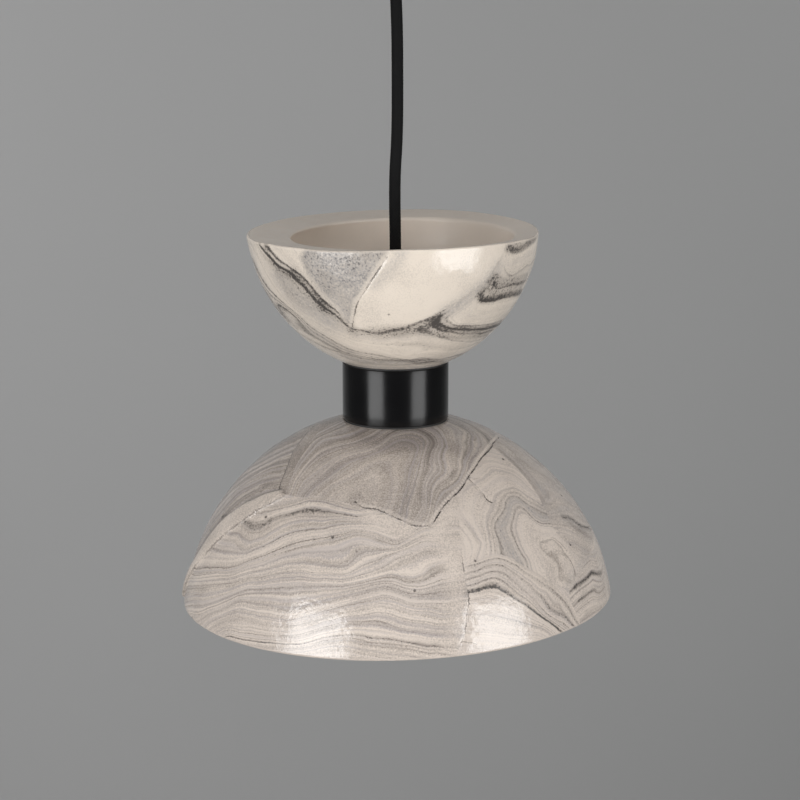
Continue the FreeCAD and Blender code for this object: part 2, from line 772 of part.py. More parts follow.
def make_dome():
    body = new_body("dome_shade", dome_rim)
    rim = "dim.dome_rim_radius"
    seat = "dim.collar_radius"
    height = "dim.dome_height"
    centre = f"(({seat})^2 + ({height})^2 - ({rim})^2) / (2 * {height})"
    sphere = f"sqrt(({rim})^2 + ({centre})^2)"
    corners = [("0", "0"), (rim, "0"), (seat, height), ("0", height)]
    turned = turn(body, corners, {1: (sphere, "convex")})
    rim_face = [
        f"Face{number}" for number, face in enumerate(turned.Shape.Faces, 1)
        if face.Surface.TypeId == "Part::GeomPlane" and abs(face.CenterOfMass.z) < 1e-6
    ]
    shell = body.newObject("PartDesign::Thickness", "shell")
    shell.Base = (turned, rim_face)
    shell.Reversed = True
    shell.setExpression("Value", "dim.dome_wall")
    doc.recompute()
    hole = new_sketch(body, "XY_Plane", "lampholder_hole")
    draw_circle(hole, skirt_radius + " + dim.dome_hole_clearance")
    cut = cut_through(body, hole)
    dress_edges(body, "Fillet", circles_at(cut.Shape, 0), "dim.dome_lip_rounding")


# Lampholder: metal cap, threaded skirt, porcelain insert with its contacts, and the ring that clamps the dome

def make_holder_cap():
    body = new_body("holder_cap", cap_base)
    wall = "dim.cap_wall"
    top = "dim.cap_height"
    shoulder = top + " - dim.cap_boss_height"
    side = shoulder + " - dim.cap_shoulder_drop"
    inner = f"{cap_radius} - {wall}"
    under = f"{shoulder} - {wall}"
    corners = [(inner, "0"), (cap_radius, "0"), (cap_radius, side)]
    corners += [("dim.cap_shoulder_radius", shoulder), ("dim.cap_boss_radius", shoulder)]
    corners += [("dim.cap_boss_radius", top), (tapped_hole, top), (tapped_hole, under)]
    corners += [(f"dim.cap_shoulder_radius - {wall}", under), (inner, side)]
    turn(body, corners, {2: ("dim.cap_shoulder_curve", "convex")})


def make_holder_skirt():
    body = new_body("holder_skirt", skirt_base)
    flange = "dim.skirt_length"
    top = flange + " + dim.collar_height - dim.collar_wall - dim.nut_height - dim.cap_height"
    shelf = top + " - dim.insert_depth - dim.insert_height"
    corners = [(skirt_bore, "0"), (skirt_radius, "0"), (skirt_radius, flange), (cap_radius, flange)]
    corners += [(cap_radius, top), (insert_seat, top), (insert_seat, shelf), (skirt_bore, shelf)]
    turn(body, corners)


def make_holder_insert():
    """Porcelain disc with a way through it for the live wire's rivet and slots that key it in the skirt."""
    body = new_body("holder_insert", insert_base)
    disc = new_sketch(body, "XY_Plane", "disc")
    draw_circle(disc, "dim.insert_radius")
    pad(body, disc, "dim.insert_height")
    keys = new_sketch(body, "XY_Plane", "keys")
    for side in ("-", ""):
        draw_circle(keys, "dim.holder_screw_radius", "0", side + "dim.insert_radius")
    cut_through(body, keys)


def make_screw_shell():
    body = new_body("screw_shell", insert_base + " - dim.shell_length")
    inner = shell_radius + " - dim.shell_wall"
    opening = "dim.contact_half_length + dim.shell_opening_gap"
    top = "dim.shell_length"
    under = top + " - dim.shell_wall"
    corners = [(inner, "0"), (shell_radius, "0"), (shell_radius, top)]
    corners += [(opening, top), (opening, under), (inner, under)]
    turn(body, corners)


def make_centre_contact():
    """A springy strip under the insert, bent down to the bulb's tip."""
    body = new_body("centre_contact", insert_base)
    sketch = new_sketch(body, "XZ_Plane", "strip")
    start = "-dim.contact_half_length"
    low = "-dim.contact_reach"
    step = "dim.contact_thickness"
    tip = "dim.bulb_contact_radius / 2"
    corners = [(start, "-" + step), (f"{start} / 2", "-" + step), ("-" + tip, low), (tip, low)]
    corners += [(tip, f"{low} + {step}"), (f"-{tip} + {step} / 2", f"{low} + {step}")]
    corners += [(f"{start} / 2 + {step} / 2", "0"), (start, "0")]
    draw_outline(sketch, corners)
    pad(body, sketch, "dim.contact_width", "Symmetric")


def make_holder_screws():
    """Live and neutral terminals on the insert, and the earth terminal under the cap's shoulder."""
    under_shoulder = cap_base + " + dim.cap_height - dim.cap_boss_height - dim.cap_wall"
    places = (
        ("live", "dim.holder_screw_place", "0", insert_top),
        ("neutral", "-dim.holder_screw_place", "0", insert_top),
        ("earth", "0", "dim.holder_screw_place", under_shoulder + " - dim.holder_screw_height"),
    )
    screws = []
    for name, x, y, z in places:
        screw = cylinder(name + "_terminal", "dim.holder_screw_radius", "dim.holder_screw_height")
        place(screw, z, x, y)
        screws.append(screw)
    group("holder_screws", screws)


def make_holder_wires():
    """Three wires down the tube from the end of the cord to the lampholder's terminals."""
    start = CORD_ROUTE[-1][2] - size("dim.screw_clearance")
    offset = size("dim.wire_offset")
    thickness = size("dim.wire_diameter")
    end = size("dim.holder_screw_place - dim.holder_screw_radius - dim.screw_clearance") - thickness / 2
    terminal = size(insert_top + " + dim.holder_screw_height / 2")
    for name, side in (("live", 1), ("neutral", -1)):
        route = [(side * offset, 0, start), (side * offset, 0, terminal + 3 * thickness)]
        route += [(side * end, 0, terminal)]
        bent_tube(f"holder_{name}_wire", route, thickness)
    earth = size(tube_base) - 0.9 * thickness
    route = [(0, offset, start), (0, offset, earth), (0, end + thickness / 2, earth)]
    bent_tube("holder_earth_wire", route, thickness)


def make_shade_ring():
    body = new_body("shade_ring", ring_base)
    bore = skirt_radius + " + dim.ring_clearance"
    top = "dim.ring_height"
    chamfer = "dim.ring_chamfer"
    corners = [(bore, "0"), (f"{ring_radius} - {chamfer}", "0"), (ring_radius, chamfer)]
    corners += [(ring_radius, top), (bore, top)]
    turn(body, corners)
    notch = new_sketch(body, "XY_Plane", "notch")
    draw_circle(notch, "dim.ring_notch_radius", ring_radius + " + dim.ring_notch_radius / 2")
    cut = cut_through(body, notch)
    pattern = body.newObject("PartDesign::PolarPattern", "notches")
    pattern.Originals = [cut]
    pattern.Axis = (notch, ["N_Axis"])
    pattern.Angle = 360
    pattern.setExpression("Occurrences", "dim.ring_notch_count")
    body.Tip = pattern
    doc.recompute()
    gasket_outer = ring_radius + " - dim.gasket_inset"
    washer("ring_gasket", gasket_outer, bore, "dim.gasket_thickness", ring_gasket_base)


# Bulb: a golf-ball lamp with a screw cap

def make_bulb():
    contact = new_body("bulb_contact", bulb_contact_base)
    tip = "dim.bulb_contact_height"
    half_tip = "dim.bulb_contact_radius / 2"
    turn(contact, [("0", "0"), ("dim.bulb_contact_radius", "0"), (half_tip, tip), ("0", tip)])
    insulator = new_body("bulb_insulator", bulb_insulator_base)
    height = "dim.bulb_insulator_height"
    cap_top = "dim.bulb_cap_radius - dim.bulb_cap_chamfer"
    corners = [("0", "0"), (cap_top, "0"), ("dim.bulb_contact_radius", height), ("0", height)]
    turn(insulator, corners)
    cap = new_body("bulb_cap", bulb_cap_base)
    height = "dim.bulb_cap_height"
    side = height + " - dim.bulb_cap_chamfer"
    corners = [("0", "0"), ("dim.bulb_cap_radius", "0"), ("dim.bulb_cap_radius", side)]
    corners += [(cap_top, height), ("0", height)]
    turn(cap, corners)
    neck = new_body("bulb_neck", bulb_neck_base)
    height = "dim.bulb_neck_height"
    corners = [("0", "0"), (bulb_neck_radius, "0"), ("dim.bulb_cap_radius", height), ("0", height)]
    turn(neck, corners, {1: ("dim.bulb_neck_curve", "concave")})
    radius = "dim.bulb_globe_radius"
    reach = f"sqrt({radius}^2 - ({bulb_neck_radius})^2)"
    globe = new_body("bulb_globe", f"{bulb_neck_base} - {radius} - {reach}")
    top = f"{radius} + {reach}"
    corners = [("0", "0"), (radius, radius), (bulb_neck_radius, top), ("0", top)]
    turn(globe, corners, {0: (radius, "convex"), 1: (radius, "convex")})


def check_and_write():
    """Write every piece once all of them are sound."""
    doc.recompute()
    for item in doc.Objects:
        faults = {"Invalid", "Error"} & set(item.State)
        assert not faults, f"{item.Label} is {faults}"
    for piece in pieces:
        assert not piece.Shape.isNull() and piece.Shape.isValid(), piece.Label + " is not a valid shape"
        assert piece.Shape.Solids, piece.Label + " holds no solid"
    os.makedirs("parts", exist_ok=True)
    for piece in pieces:
        piece.Shape.exportStep(f"parts/{piece.Label}.step")
    print(len(pieces), "pieces written")


make_bracket()
make_canopy()
make_canopy_screws()
make_ceiling_grip()
make_terminal_block()
make_earth_terminal()
make_cord()
make_ceiling_wires()
make_bowl_grip()
make_bowl()
make_bowl_fixings()
make_collar()
make_dome()
make_holder_cap()
make_holder_skirt()
make_holder_insert()
make_screw_shell()
make_centre_contact()
make_holder_screws()
make_holder_wires()
make_shade_ring()
make_bulb()
check_and_write()
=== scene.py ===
"""The looks of a dome pendant light: two marbled ceramic shells, a black collar and a braided cord.

The frame is that of the solids: the ceiling is z = 0, the lamp hangs below it and its front faces -Y.
Shapes are worked out in millimetres and become metres when a mesh is made.
"""

import json
import math
from typing import NamedTuple

import bpy
import numpy as np
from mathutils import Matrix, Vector, noise


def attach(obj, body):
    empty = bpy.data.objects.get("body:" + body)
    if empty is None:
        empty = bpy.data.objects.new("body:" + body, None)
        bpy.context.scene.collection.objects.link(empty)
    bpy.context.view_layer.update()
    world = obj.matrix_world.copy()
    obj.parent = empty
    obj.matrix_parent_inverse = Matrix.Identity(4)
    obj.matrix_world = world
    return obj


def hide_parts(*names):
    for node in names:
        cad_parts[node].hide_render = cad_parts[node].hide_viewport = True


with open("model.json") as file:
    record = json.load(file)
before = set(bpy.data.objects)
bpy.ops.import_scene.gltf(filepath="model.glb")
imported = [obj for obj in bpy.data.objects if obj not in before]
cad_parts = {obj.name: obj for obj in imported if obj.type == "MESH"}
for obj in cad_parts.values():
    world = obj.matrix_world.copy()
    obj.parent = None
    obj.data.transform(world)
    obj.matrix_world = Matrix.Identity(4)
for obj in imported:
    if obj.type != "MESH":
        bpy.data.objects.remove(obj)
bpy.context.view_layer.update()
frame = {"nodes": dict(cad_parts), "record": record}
scene = bpy.context.scene
scene.view_settings.view_transform = "Standard"

MM = 0.001

# Dome: heights are below the ceiling
DOME_TOP = -291.0
DOME_HEIGHT = 102.0
DOME_RIM_RADIUS = 123.0
DOME_SPHERE_RADIUS = 124.42
DOME_CENTRE_DROP = 120.75
DOME_WALL = 7.5
DOME_HOLE_RADIUS = 20.4
DOME_SEAT_RADIUS = 30.0
DOME_LIP_ROUNDING = 1.6
DOME_LEAN = 0.027
DOME_SHIFT = 1.15
SEAT_GAP = 0.01

# Bowl: heights are above its foot
BOWL_FOOT = -257.0
BOWL_HEIGHT = 73.5
BOWL_RIM_RADIUS = 81.4
BOWL_FOOT_RADIUS = 30.0
BOWL_BELLY_RADIUS = 87.8
BOWL_BELLY_CENTRE = (-6.17, 80.0)
BOWL_LIP_WIDTH = 19.5
BOWL_LIP_ROUNDING = 2.0
BOWL_MOUTH_ROUNDING = 2.5
BOWL_CAVITY_RADIUS = 48.0
BOWL_CAVITY_CENTRE = (16.67, 57.4)
BOWL_FLOOR = 10.0
BOWL_HOLE_RADIUS = 6.0
BOWL_SHIFT = -1.6
BOWL_OPENING_SHIFT = (6.0, 2.0)
BOWL_LIP_DROP = 2.8
BOWL_BACK_RISE = 3.0
BOWL_RIGHT_RISE = 1.1

# Cord
CORD_DIAMETER = 6.6
CORD_ROUTE = [
    (0.0, 0.0, -49.6),
    (1.0, 0.0, -69.0),
    (1.2, 0.0, -101.0),
    (1.1, 0.0, -131.0),
    (-0.6, 0.0, -157.0),
    (0.1, 0.0, -193.0),
    (0.0, 0.0, -228.5),
]


# Meshes

def add_piece(name, points, faces):
    """A smooth mesh object from points in millimetres."""
    mesh = bpy.data.meshes.new(name)
    mesh.from_pydata((np.asarray(points) * MM).tolist(), [], faces)
    mesh.polygons.foreach_set("use_smooth", [True] * len(mesh.polygons))
    mesh.update()
    piece = bpy.data.objects.new(name, mesh)
    scene.collection.objects.link(piece)
    return piece


def settle(piece, body, material, slot, *nodes):
    """Gives a piece its body, finish and the solids it stands for."""
    piece.data.materials.append(material)
    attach(piece, body)
    if nodes:
        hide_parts(*nodes)


def ring_faces(first, second, count):
    """Quads between two closed rings of points that start at those numbers."""
    return [
        (first + i, first + (i + 1) % count, second + (i + 1) % count, second + i)
        for i in range(count)
    ]


def arc(centre, radius, start, end, count):
    """Points (radius, height) on an arc, its angles in degrees from straight up towards outside."""
    angles = np.radians(np.linspace(start, end, count))
    return np.stack([centre[0] + radius * np.sin(angles), centre[1] + radius * np.cos(angles)], axis=1)


def rounding(before, corner, after, count):
    """Points that lead round a corner from one point to the other."""
    share = np.linspace(0, 1, count)[:, None]
    before, corner, after = map(np.array, (before, corner, after))
    return before * (1 - share) ** 2 + 2 * corner * share * (1 - share) + after * share**2


def round_the_axis(radius, azimuth, height):
    """Points round the lamp's axis, their azimuths in degrees from the front towards the right."""
    turn = np.radians(azimuth)
    return np.stack(np.broadcast_arrays(radius * np.sin(turn), -radius * np.cos(turn), height), axis=1)


def turned(profile, count):
    """The points of a profile turned round the lamp's axis, ring by ring, and their azimuths."""
    azimuth = np.linspace(-180, 180, count, endpoint=False)
    rings = [round_the_axis(radius, azimuth, height) for radius, height in profile]
    return np.concatenate(rings), np.tile(azimuth, len(profile))


def tube_faces(rings, count):
    """Quads between rings of points, and a face over each end."""
    faces = []
    for ring in range(rings - 1):
        faces += ring_faces(ring * count, (ring + 1) * count, count)
    faces.append(tuple(range(count - 1, -1, -1)))
    faces.append(tuple(range((rings - 1) * count, rings * count)))
    return faces


def set_numbers(piece, name, values):
    """Stores one number, or three, for each point of a mesh."""
    values = np.asarray(values, dtype=np.float32)
    if values.ndim == 1:
        piece.data.attributes.new(name, "FLOAT", "POINT").data.foreach_set("value", values)
    else:
        piece.data.attributes.new(name, "FLOAT_VECTOR", "POINT").data.foreach_set("vector", values.ravel())


def waviness(points, size, seed):
    """Smooth random numbers from -1 to 1 over points in millimetres, with waves of that size."""
    shift = Vector((seed * 17.3, seed * 5.1, seed * 9.7))
    return np.array([noise.noise(Vector(p) / size + shift) for p in points])


# Materials

# Most numbers of a blotchy noise are between these two
BLOTCH_RANGE = (0.3, 0.7)


class Number:
    """A socket of a shader that gives numbers, with which sums can be written."""

    def __init__(self, tree, socket):
        self.tree = tree
        self.socket = socket

    def __add__(self, other):
        return calculate(self.tree, "ADD", self, other)

    __radd__ = __add__

    def __sub__(self, other):
        return calculate(self.tree, "SUBTRACT", self, other)

    def __mul__(self, other):
        return calculate(self.tree, "MULTIPLY", self, other)

    def __truediv__(self, other):
        return calculate(self.tree, "DIVIDE", self, other)

    def __gt__(self, other):
        return calculate(self.tree, "GREATER_THAN", self, other)

    def spread(self, low, high, to_low=0.0, to_high=1.0, smooth=False):
        """Stretches the range from low to high onto another one, and stops at its ends."""
        node = self.tree.nodes.new("ShaderNodeMapRange")
        node.interpolation_type = "SMOOTHSTEP" if smooth else "LINEAR"
        names = ("Value", "From Min", "From Max", "To Min", "To Max")
        for name, value in zip(names, (self, low, high, to_low, to_high)):
            feed(self.tree, node.inputs[name], value)
        return Number(self.tree, node.outputs[0])


def feed(tree, socket, value):
    """Links something to a socket, or sets the socket's own value."""
    if isinstance(value, Number):
        value = value.socket
    if isinstance(value, bpy.types.NodeSocket):
        tree.links.new(value, socket)
    elif isinstance(value, tuple) and socket.type == "RGBA":
        socket.default_value = (*value, 1.0)
    else:
        socket.default_value = value


def calculate(tree, operation, *values):
    """One step of a sum."""
    node = tree.nodes.new("ShaderNodeMath")
    node.operation = operation
    for socket, value in zip(node.inputs, values):
        feed(tree, socket, value)
    return Number(tree, node.outputs[0])


class Finish:
    """A material that is being put together: its shader, and the place on the piece, which moves with it."""

    def __init__(self, name):
        self.material = bpy.data.materials.new(name)
        self.material.use_nodes = True
        self.tree = self.material.node_tree
        self.shader = self.tree.nodes["Principled BSDF"]
        self.place = self.add("TexCoord").outputs["Object"]

    def add(self, kind):
        return self.tree.nodes.new("ShaderNode" + kind)

    def set(self, **values):
        """Sets inputs of the shader, their names written with _ for a space."""
        for name, value in values.items():
            feed(self.tree, self.shader.inputs[name.replace("_", " ")], value)

    def blotches(self, scale, detail=2.0, depth=None):
        """Noise over the piece, in metres. With a depth it also changes along that fourth direction."""
        node = self.add("TexNoise")
        if depth is not None:
            node.noise_dimensions = "4D"
            feed(self.tree, node.inputs["W"], depth)
        self.tree.links.new(self.place, node.inputs["Vector"])
        node.inputs["Scale"].default_value = scale
        node.inputs["Detail"].default_value = detail
        return Number(self.tree, node.outputs["Fac"])

    def mixed(self, share, first, second):
        """A colour between two colours."""
        node = self.add("Mix")
        node.data_type = "RGBA"
        sockets = (node.inputs["Factor"], node.inputs[6], node.inputs[7])
        for socket, value in zip(sockets, (share, first, second)):
            feed(self.tree, socket, value)
        return node.outputs[2]

    def chosen(self, test, first, second):
        """The second number where the test is 1, else the first."""
        node = self.add("Mix")
        for name, value in (("Factor", test), ("A", first), ("B", second)):
            feed(self.tree, node.inputs[name], value)
        return Number(self.tree, node.outputs[0])

    def bumped(self, height, distance, strength=1.0, normal=None):
        node = self.add("Bump")
        node.inputs["Strength"].default_value = strength
        node.inputs["Distance"].default_value = distance
        feed(self.tree, node.inputs["Height"], height)
        if normal is not None:
            self.tree.links.new(normal, node.inputs["Normal"])
        return node.outputs[0]

    def stored(self, name):
        """A number that each point of the mesh has."""
        node = self.add("Attribute")
        node.attribute_name = name
        return Number(self.tree, node.outputs["Fac"])

    def split(self, vector):
        node = self.add("SeparateXYZ")
        self.tree.links.new(vector, node.inputs[0])
        return [Number(self.tree, socket) for socket in node.outputs]

    def stored_three(self, name):
        """Three numbers that each point of the mesh has."""
        node = self.add("Attribute")
        node.attribute_name = name
        return self.split(node.outputs["Vector"])


# Camera, light and stage, in metres and degrees

CAMERA_PLACE = (0.00255, -1.0783, -0.0555)
CAMERA_TILT_DOWN = 11.78
CAMERA_LENS = 87.3
CAMERA_SENSOR = 36.0

# Lamps round the object: azimuth from the front towards the right, height, distance, size, watts, and
# whether the object mirrors them
LAMPS = {
    "softbox_left": (-43, -0.41, 1.6, (0.95, 1.13), 16.8, True),
    "softbox_right": (51, -0.41, 1.6, (0.88, 1.13), 13.8, True),
    "fill_top": (0, 1.05, 1.15, (2.0, 2.0), 12.0, False),
    "fill_back_left": (-140, 0.2, 1.9, (1.4, 1.4), 7.0, False),
    "fill_back_right": (140, 0.2, 1.9, (1.4, 1.4), 7.0, False),
}
LAMP_AIM = Vector((0, 0, -0.28))
WORLD_GREY = (0.10, 0.10, 0.10)

# The wall's colour runs from painted light at the left to painted shade at the right
WALL_LEFT_PAINTED_LIGHT = (0.605, 0.605, 0.605)
WALL_RIGHT_PAINTED_SHADE = (0.482, 0.485, 0.484)
WALL_MOTTLE = (0.2, 0.2, 0.2)
WALL_DISTANCE = 1.7
WALL_TOP = 2.5
FLOOR_COLOUR = (0.62, 0.62, 0.61)
FLOOR_HEIGHT = -2.4
FLOOR_FRONT = -3.0
SWEEP_BEND = 0.8
SWEEP_HALF_WIDTH = 3.5


def make_camera():
    camera = bpy.data.objects.new("camera", bpy.data.cameras.new("camera"))
    camera.data.lens = CAMERA_LENS
    camera.data.sensor_width = CAMERA_SENSOR
    camera.location = CAMERA_PLACE
    camera.rotation_euler = (math.radians(90 - CAMERA_TILT_DOWN), 0, 0)
    scene.collection.objects.link(camera)
    scene.camera = camera


def add_lamp(name, azimuth, height, distance, size, watts, mirrored):
    lamp = bpy.data.lights.new(name, "AREA")
    lamp.shape = "RECTANGLE"
    lamp.size, lamp.size_y = size
    lamp.energy = watts
    box = bpy.data.objects.new(name, lamp)
    turn = math.radians(azimuth)
    box.location = (distance * math.sin(turn), -distance * math.cos(turn), height)
    box.rotation_euler = (LAMP_AIM - box.location).to_track_quat("-Z", "Y").to_euler()
    box.visible_camera = False
    box.visible_glossy = mirrored
    scene.collection.objects.link(box)


def light_the_scene():
    for name, values in LAMPS.items():
        add_lamp(name, *values)
    world = bpy.data.worlds.new("studio")
    world.use_nodes = True
    background = world.node_tree.nodes["Background"]
    background.inputs["Color"].default_value = (*WORLD_GREY, 1)
    background.inputs["Strength"].default_value = 1.0
    scene.world = world


def paper_material():
    """Grey paper on the wall, with painted light at the left and painted shade to the right, that grows paler
    down to the floor.
    """
    paper = Finish("studio_paper")
    across, _, up = paper.split(paper.place)
    # Painted light at the left fading into painted shade at the right
    wall = paper.mixed(across.spread(-0.6, 0.6), WALL_LEFT_PAINTED_LIGHT, WALL_RIGHT_PAINTED_SHADE)
    colour = paper.mixed(up.spread(-2.2, -1.4, 1.0, 0.0, smooth=True), wall, FLOOR_COLOUR)
    colour = paper.mixed(paper.blotches(1.5).spread(*BLOTCH_RANGE, 0.0, 0.04), colour, WALL_MOTTLE)
    paper.set(Base_Color=colour, Roughness=0.9, Specular_IOR_Level=0.1)
    return paper.material


def make_stage():
    """A pale floor and a grey wall behind the lamp, in one sweep."""
    bend_start = WALL_DISTANCE - SWEEP_BEND
    line = [(FLOOR_FRONT, FLOOR_HEIGHT), (bend_start, FLOOR_HEIGHT)]
    for angle in range(10, 91, 10):
        turn = math.radians(angle)
        along = bend_start + SWEEP_BEND * math.sin(turn)
        line.append((along, FLOOR_HEIGHT + SWEEP_BEND * (1 - math.cos(turn))))
    line.append((WALL_DISTANCE, WALL_TOP))
    points = [(x, y, z) for y, z in line for x in (-SWEEP_HALF_WIDTH, SWEEP_HALF_WIDTH)]
    faces = [(2 * i, 2 * i + 1, 2 * i + 3, 2 * i + 2) for i in range(len(line) - 1)]
    sweep = add_piece("studio_sweep", np.array(points) / MM, faces)
    sweep.data.materials.append(paper_material())


# Cord

BRAID_STRANDS = 12
BRAID_TURN = 21.0
BRAID_RELIEF = 0.32
CORD_SIDES = 72
CORD_STEP = 0.32
# Painted shade for the dips between the braid's strands, then the threads' own black
BRAID_PAINTED_SHADE = (0.0015, 0.0015, 0.0017)
BRAID_BLACK = (0.007, 0.007, 0.0073)
BRAID_FIBRE = (0.016, 0.016, 0.017)
BRAID_DUST = (0.025, 0.025, 0.025)


def cord_line():
    """Points along the cord, in millimetres, read from its smooth spline."""
    curve = bpy.data.curves.new("cord_line", "CURVE")
    curve.dimensions = "3D"
    curve.resolution_u = 24
    spline = curve.splines.new("NURBS")
    spline.points.add(len(CORD_ROUTE) - 1)
    for point, (x, y, z) in zip(spline.points, CORD_ROUTE):
        point.co = (x * MM, y * MM, z * MM, 1)
    spline.order_u = 3
    spline.use_endpoint_u = True
    holder = bpy.data.objects.new("cord_line", curve)
    mesh = bpy.data.meshes.new_from_object(holder)
    points = np.array([v.co for v in mesh.vertices]) / MM
    bpy.data.objects.remove(holder)
    bpy.data.meshes.remove(mesh)
    return points


def braid_height(around, along):
    """How far a braided cover stands out, from 0 to 1."""
    first = BRAID_STRANDS * (around + along / BRAID_TURN)
    second = BRAID_STRANDS * (around - along / BRAID_TURN)
    first_on_top = (np.floor(first) + np.floor(second)) % 2 < 1
    across = np.where(first_on_top, first, second) % 1
    lengthwise = np.where(first_on_top, second, first) % 1
    return np.sin(np.pi * across) ** 0.6 * (0.55 + 0.45 * np.sin(np.pi * lengthwise))


def textile_material():
    """Black braid: matt threads with painted shade in the dips between strands, and fine fibres that catch a
    little light.
    """
    braid = Finish("black_braid")
    fibres = braid.blotches(2600.0, 3.0)
    dust = braid.blotches(90.0, 4.0)
    # Painted shade: the colour darkens towards the dips between the strands
    colour = braid.mixed(braid.stored("relief"), BRAID_PAINTED_SHADE, BRAID_BLACK)
    colour = braid.mixed(fibres.spread(0.55, 0.8, 0.0, 0.5), colour, BRAID_FIBRE)
    colour = braid.mixed(dust.spread(0.62, 0.8, 0.0, 0.15), colour, BRAID_DUST)
    braid.set(
        Base_Color=colour,
        Roughness=fibres.spread(*BLOTCH_RANGE, 0.6, 0.9),
        Sheen_Weight=0.02,
        Sheen_Roughness=0.4,
        Specular_IOR_Level=0.2,
        Normal=braid.bumped(fibres, 0.0002, 0.5),
    )
    return braid.material


def make_cord(material):
    """A mesh tube with the braid's relief, along the spline."""
    line = cord_line()
    runs = np.linalg.norm(np.diff(line, axis=0), axis=1)
    travelled = np.concatenate([[0], np.cumsum(runs)])
    rows = int(travelled[-1] / CORD_STEP)
    along = np.linspace(0, travelled[-1], rows)
    centre = np.stack([np.interp(along, travelled, line[:, k]) for k in range(3)], axis=1)
    ahead = np.gradient(centre, axis=0)
    ahead /= np.linalg.norm(ahead, axis=1)[:, None]
    side = np.array([1.0, 0, 0]) - ahead * ahead[:, :1]
    side /= np.linalg.norm(side, axis=1)[:, None]
    other = np.cross(ahead, side)
    around = np.arange(CORD_SIDES) / CORD_SIDES
    turn = 2 * np.pi * around
    height = braid_height(around[None, :], along[:, None])
    radius = CORD_DIAMETER / 2 - BRAID_RELIEF * (1 - height)
    points = centre[:, None, :] + radius[:, :, None] * (
        np.cos(turn)[None, :, None] * side[:, None, :] + np.sin(turn)[None, :, None] * other[:, None, :]
    )
    cord = add_piece("braided_cord", points.reshape(-1, 3), tube_faces(rows, CORD_SIDES))
    set_numbers(cord, "relief", height.reshape(-1))
    settle(cord, "pendant", material, "black_textile", "cord_drop")


# Marbled clay: slabs of layered clay laid side by side on a shell.
# A slab has an outline and a few lines that its layers follow. Each line has a depth in the layers, in
# millimetres. Places are (azimuth in degrees from the front towards the right, millimetres down or up).

class Slab(NamedTuple):
    """One slab. Its layer is one of three, so that slabs beside each other can overlap at their seam.

    Its tone goes from dark to pale, its lift is how far it stands out, and veins are its thin lines.
    """

    layer: int
    tone: float
    lift: float
    veins: float
    outline: list
    lines: list = ()


DOME_SEAM_LEFT = [(-104, -2), (-95, 5), (-78, 8), (-69, 12), (-59, 17), (-50, 28)]
DOME_STRIP_LEFT = [(-92, -2), (-72, 5), (-57, 12), (-49, 21), (-46, 28)]
DOME_SEAM_MIDDLE = [
    (-37, 28.5), (-30, 27), (-23, 28), (-17, 29), (-10, 31), (-5, 32), (1, 35), (6, 38), (11, 38.5),
]
DOME_SEAM_FALL = [(16, 32), (20, 28), (26, 24)]
DOME_SEAM_RIGHT = [(34, 19), (50, 13), (66, 11), (72, 10.5), (88, 11), (106, 9), (116, -2)]
DOME_SEAM_UPRIGHT = [(22, 33), (20, 44), (19, 56)]
DOME_SEAM_FOOT = [(19, 65), (19, 75), (18, 82), (17, 91), (15, 98), (14, 105)]
DOME_LIP_TOP = [(-49, 28.5), (-55, 32), (-62, 38), (-69, 47), (-73, 58), (-78, 73), (-87, 90), (-95, 105)]
DOME_LIP_FOOT = [
    (-45, 30), (-49, 35), (-54, 40), (-59, 48), (-65, 57), (-70, 67), (-76, 78), (-83, 92), (-90, 105),
]
DOME_SHADE_LEFT = [(66, 11), (64, 17), (62, 24), (61, 30), (60, 36), (59, 41)]
DOME_SHADE_RIGHT = [(72, 10.5), (71, 17), (69, 24), (67, 30), (63, 37), (59, 41)]
DOME_CUSP = [(57, 47), (57, 54), (61, 62), (63, 72)]
DOME_ARC_TOP = [(25, 55), (30, 54), (35, 57), (40, 65), (45, 73), (52, 81)]
DOME_FOLD_EDGE = [(51, 86), (54, 99), (55, 105)]
DOME_FAR_EDGE = [(63, 72), (79, 69), (98, 66), (116, 62)]
DOME_BACK_RIGHT = [(130, -2), (122, 20), (130, 45)]
DOME_BACK_LOW = [(124, 80), (120, 105)]
DOME_BACK_MIDDLE = [(172, -2), (178, 20), (168, 40), (176, 60), (166, 82), (172, 105)]
DOME_BACK_LEFT = [(213, -2), (210, 10), (217, 30), (208, 55), (214, 80), (210, 105)]


def less_a_turn(places):
    return [(azimuth - 360, drop) for azimuth, drop in places]


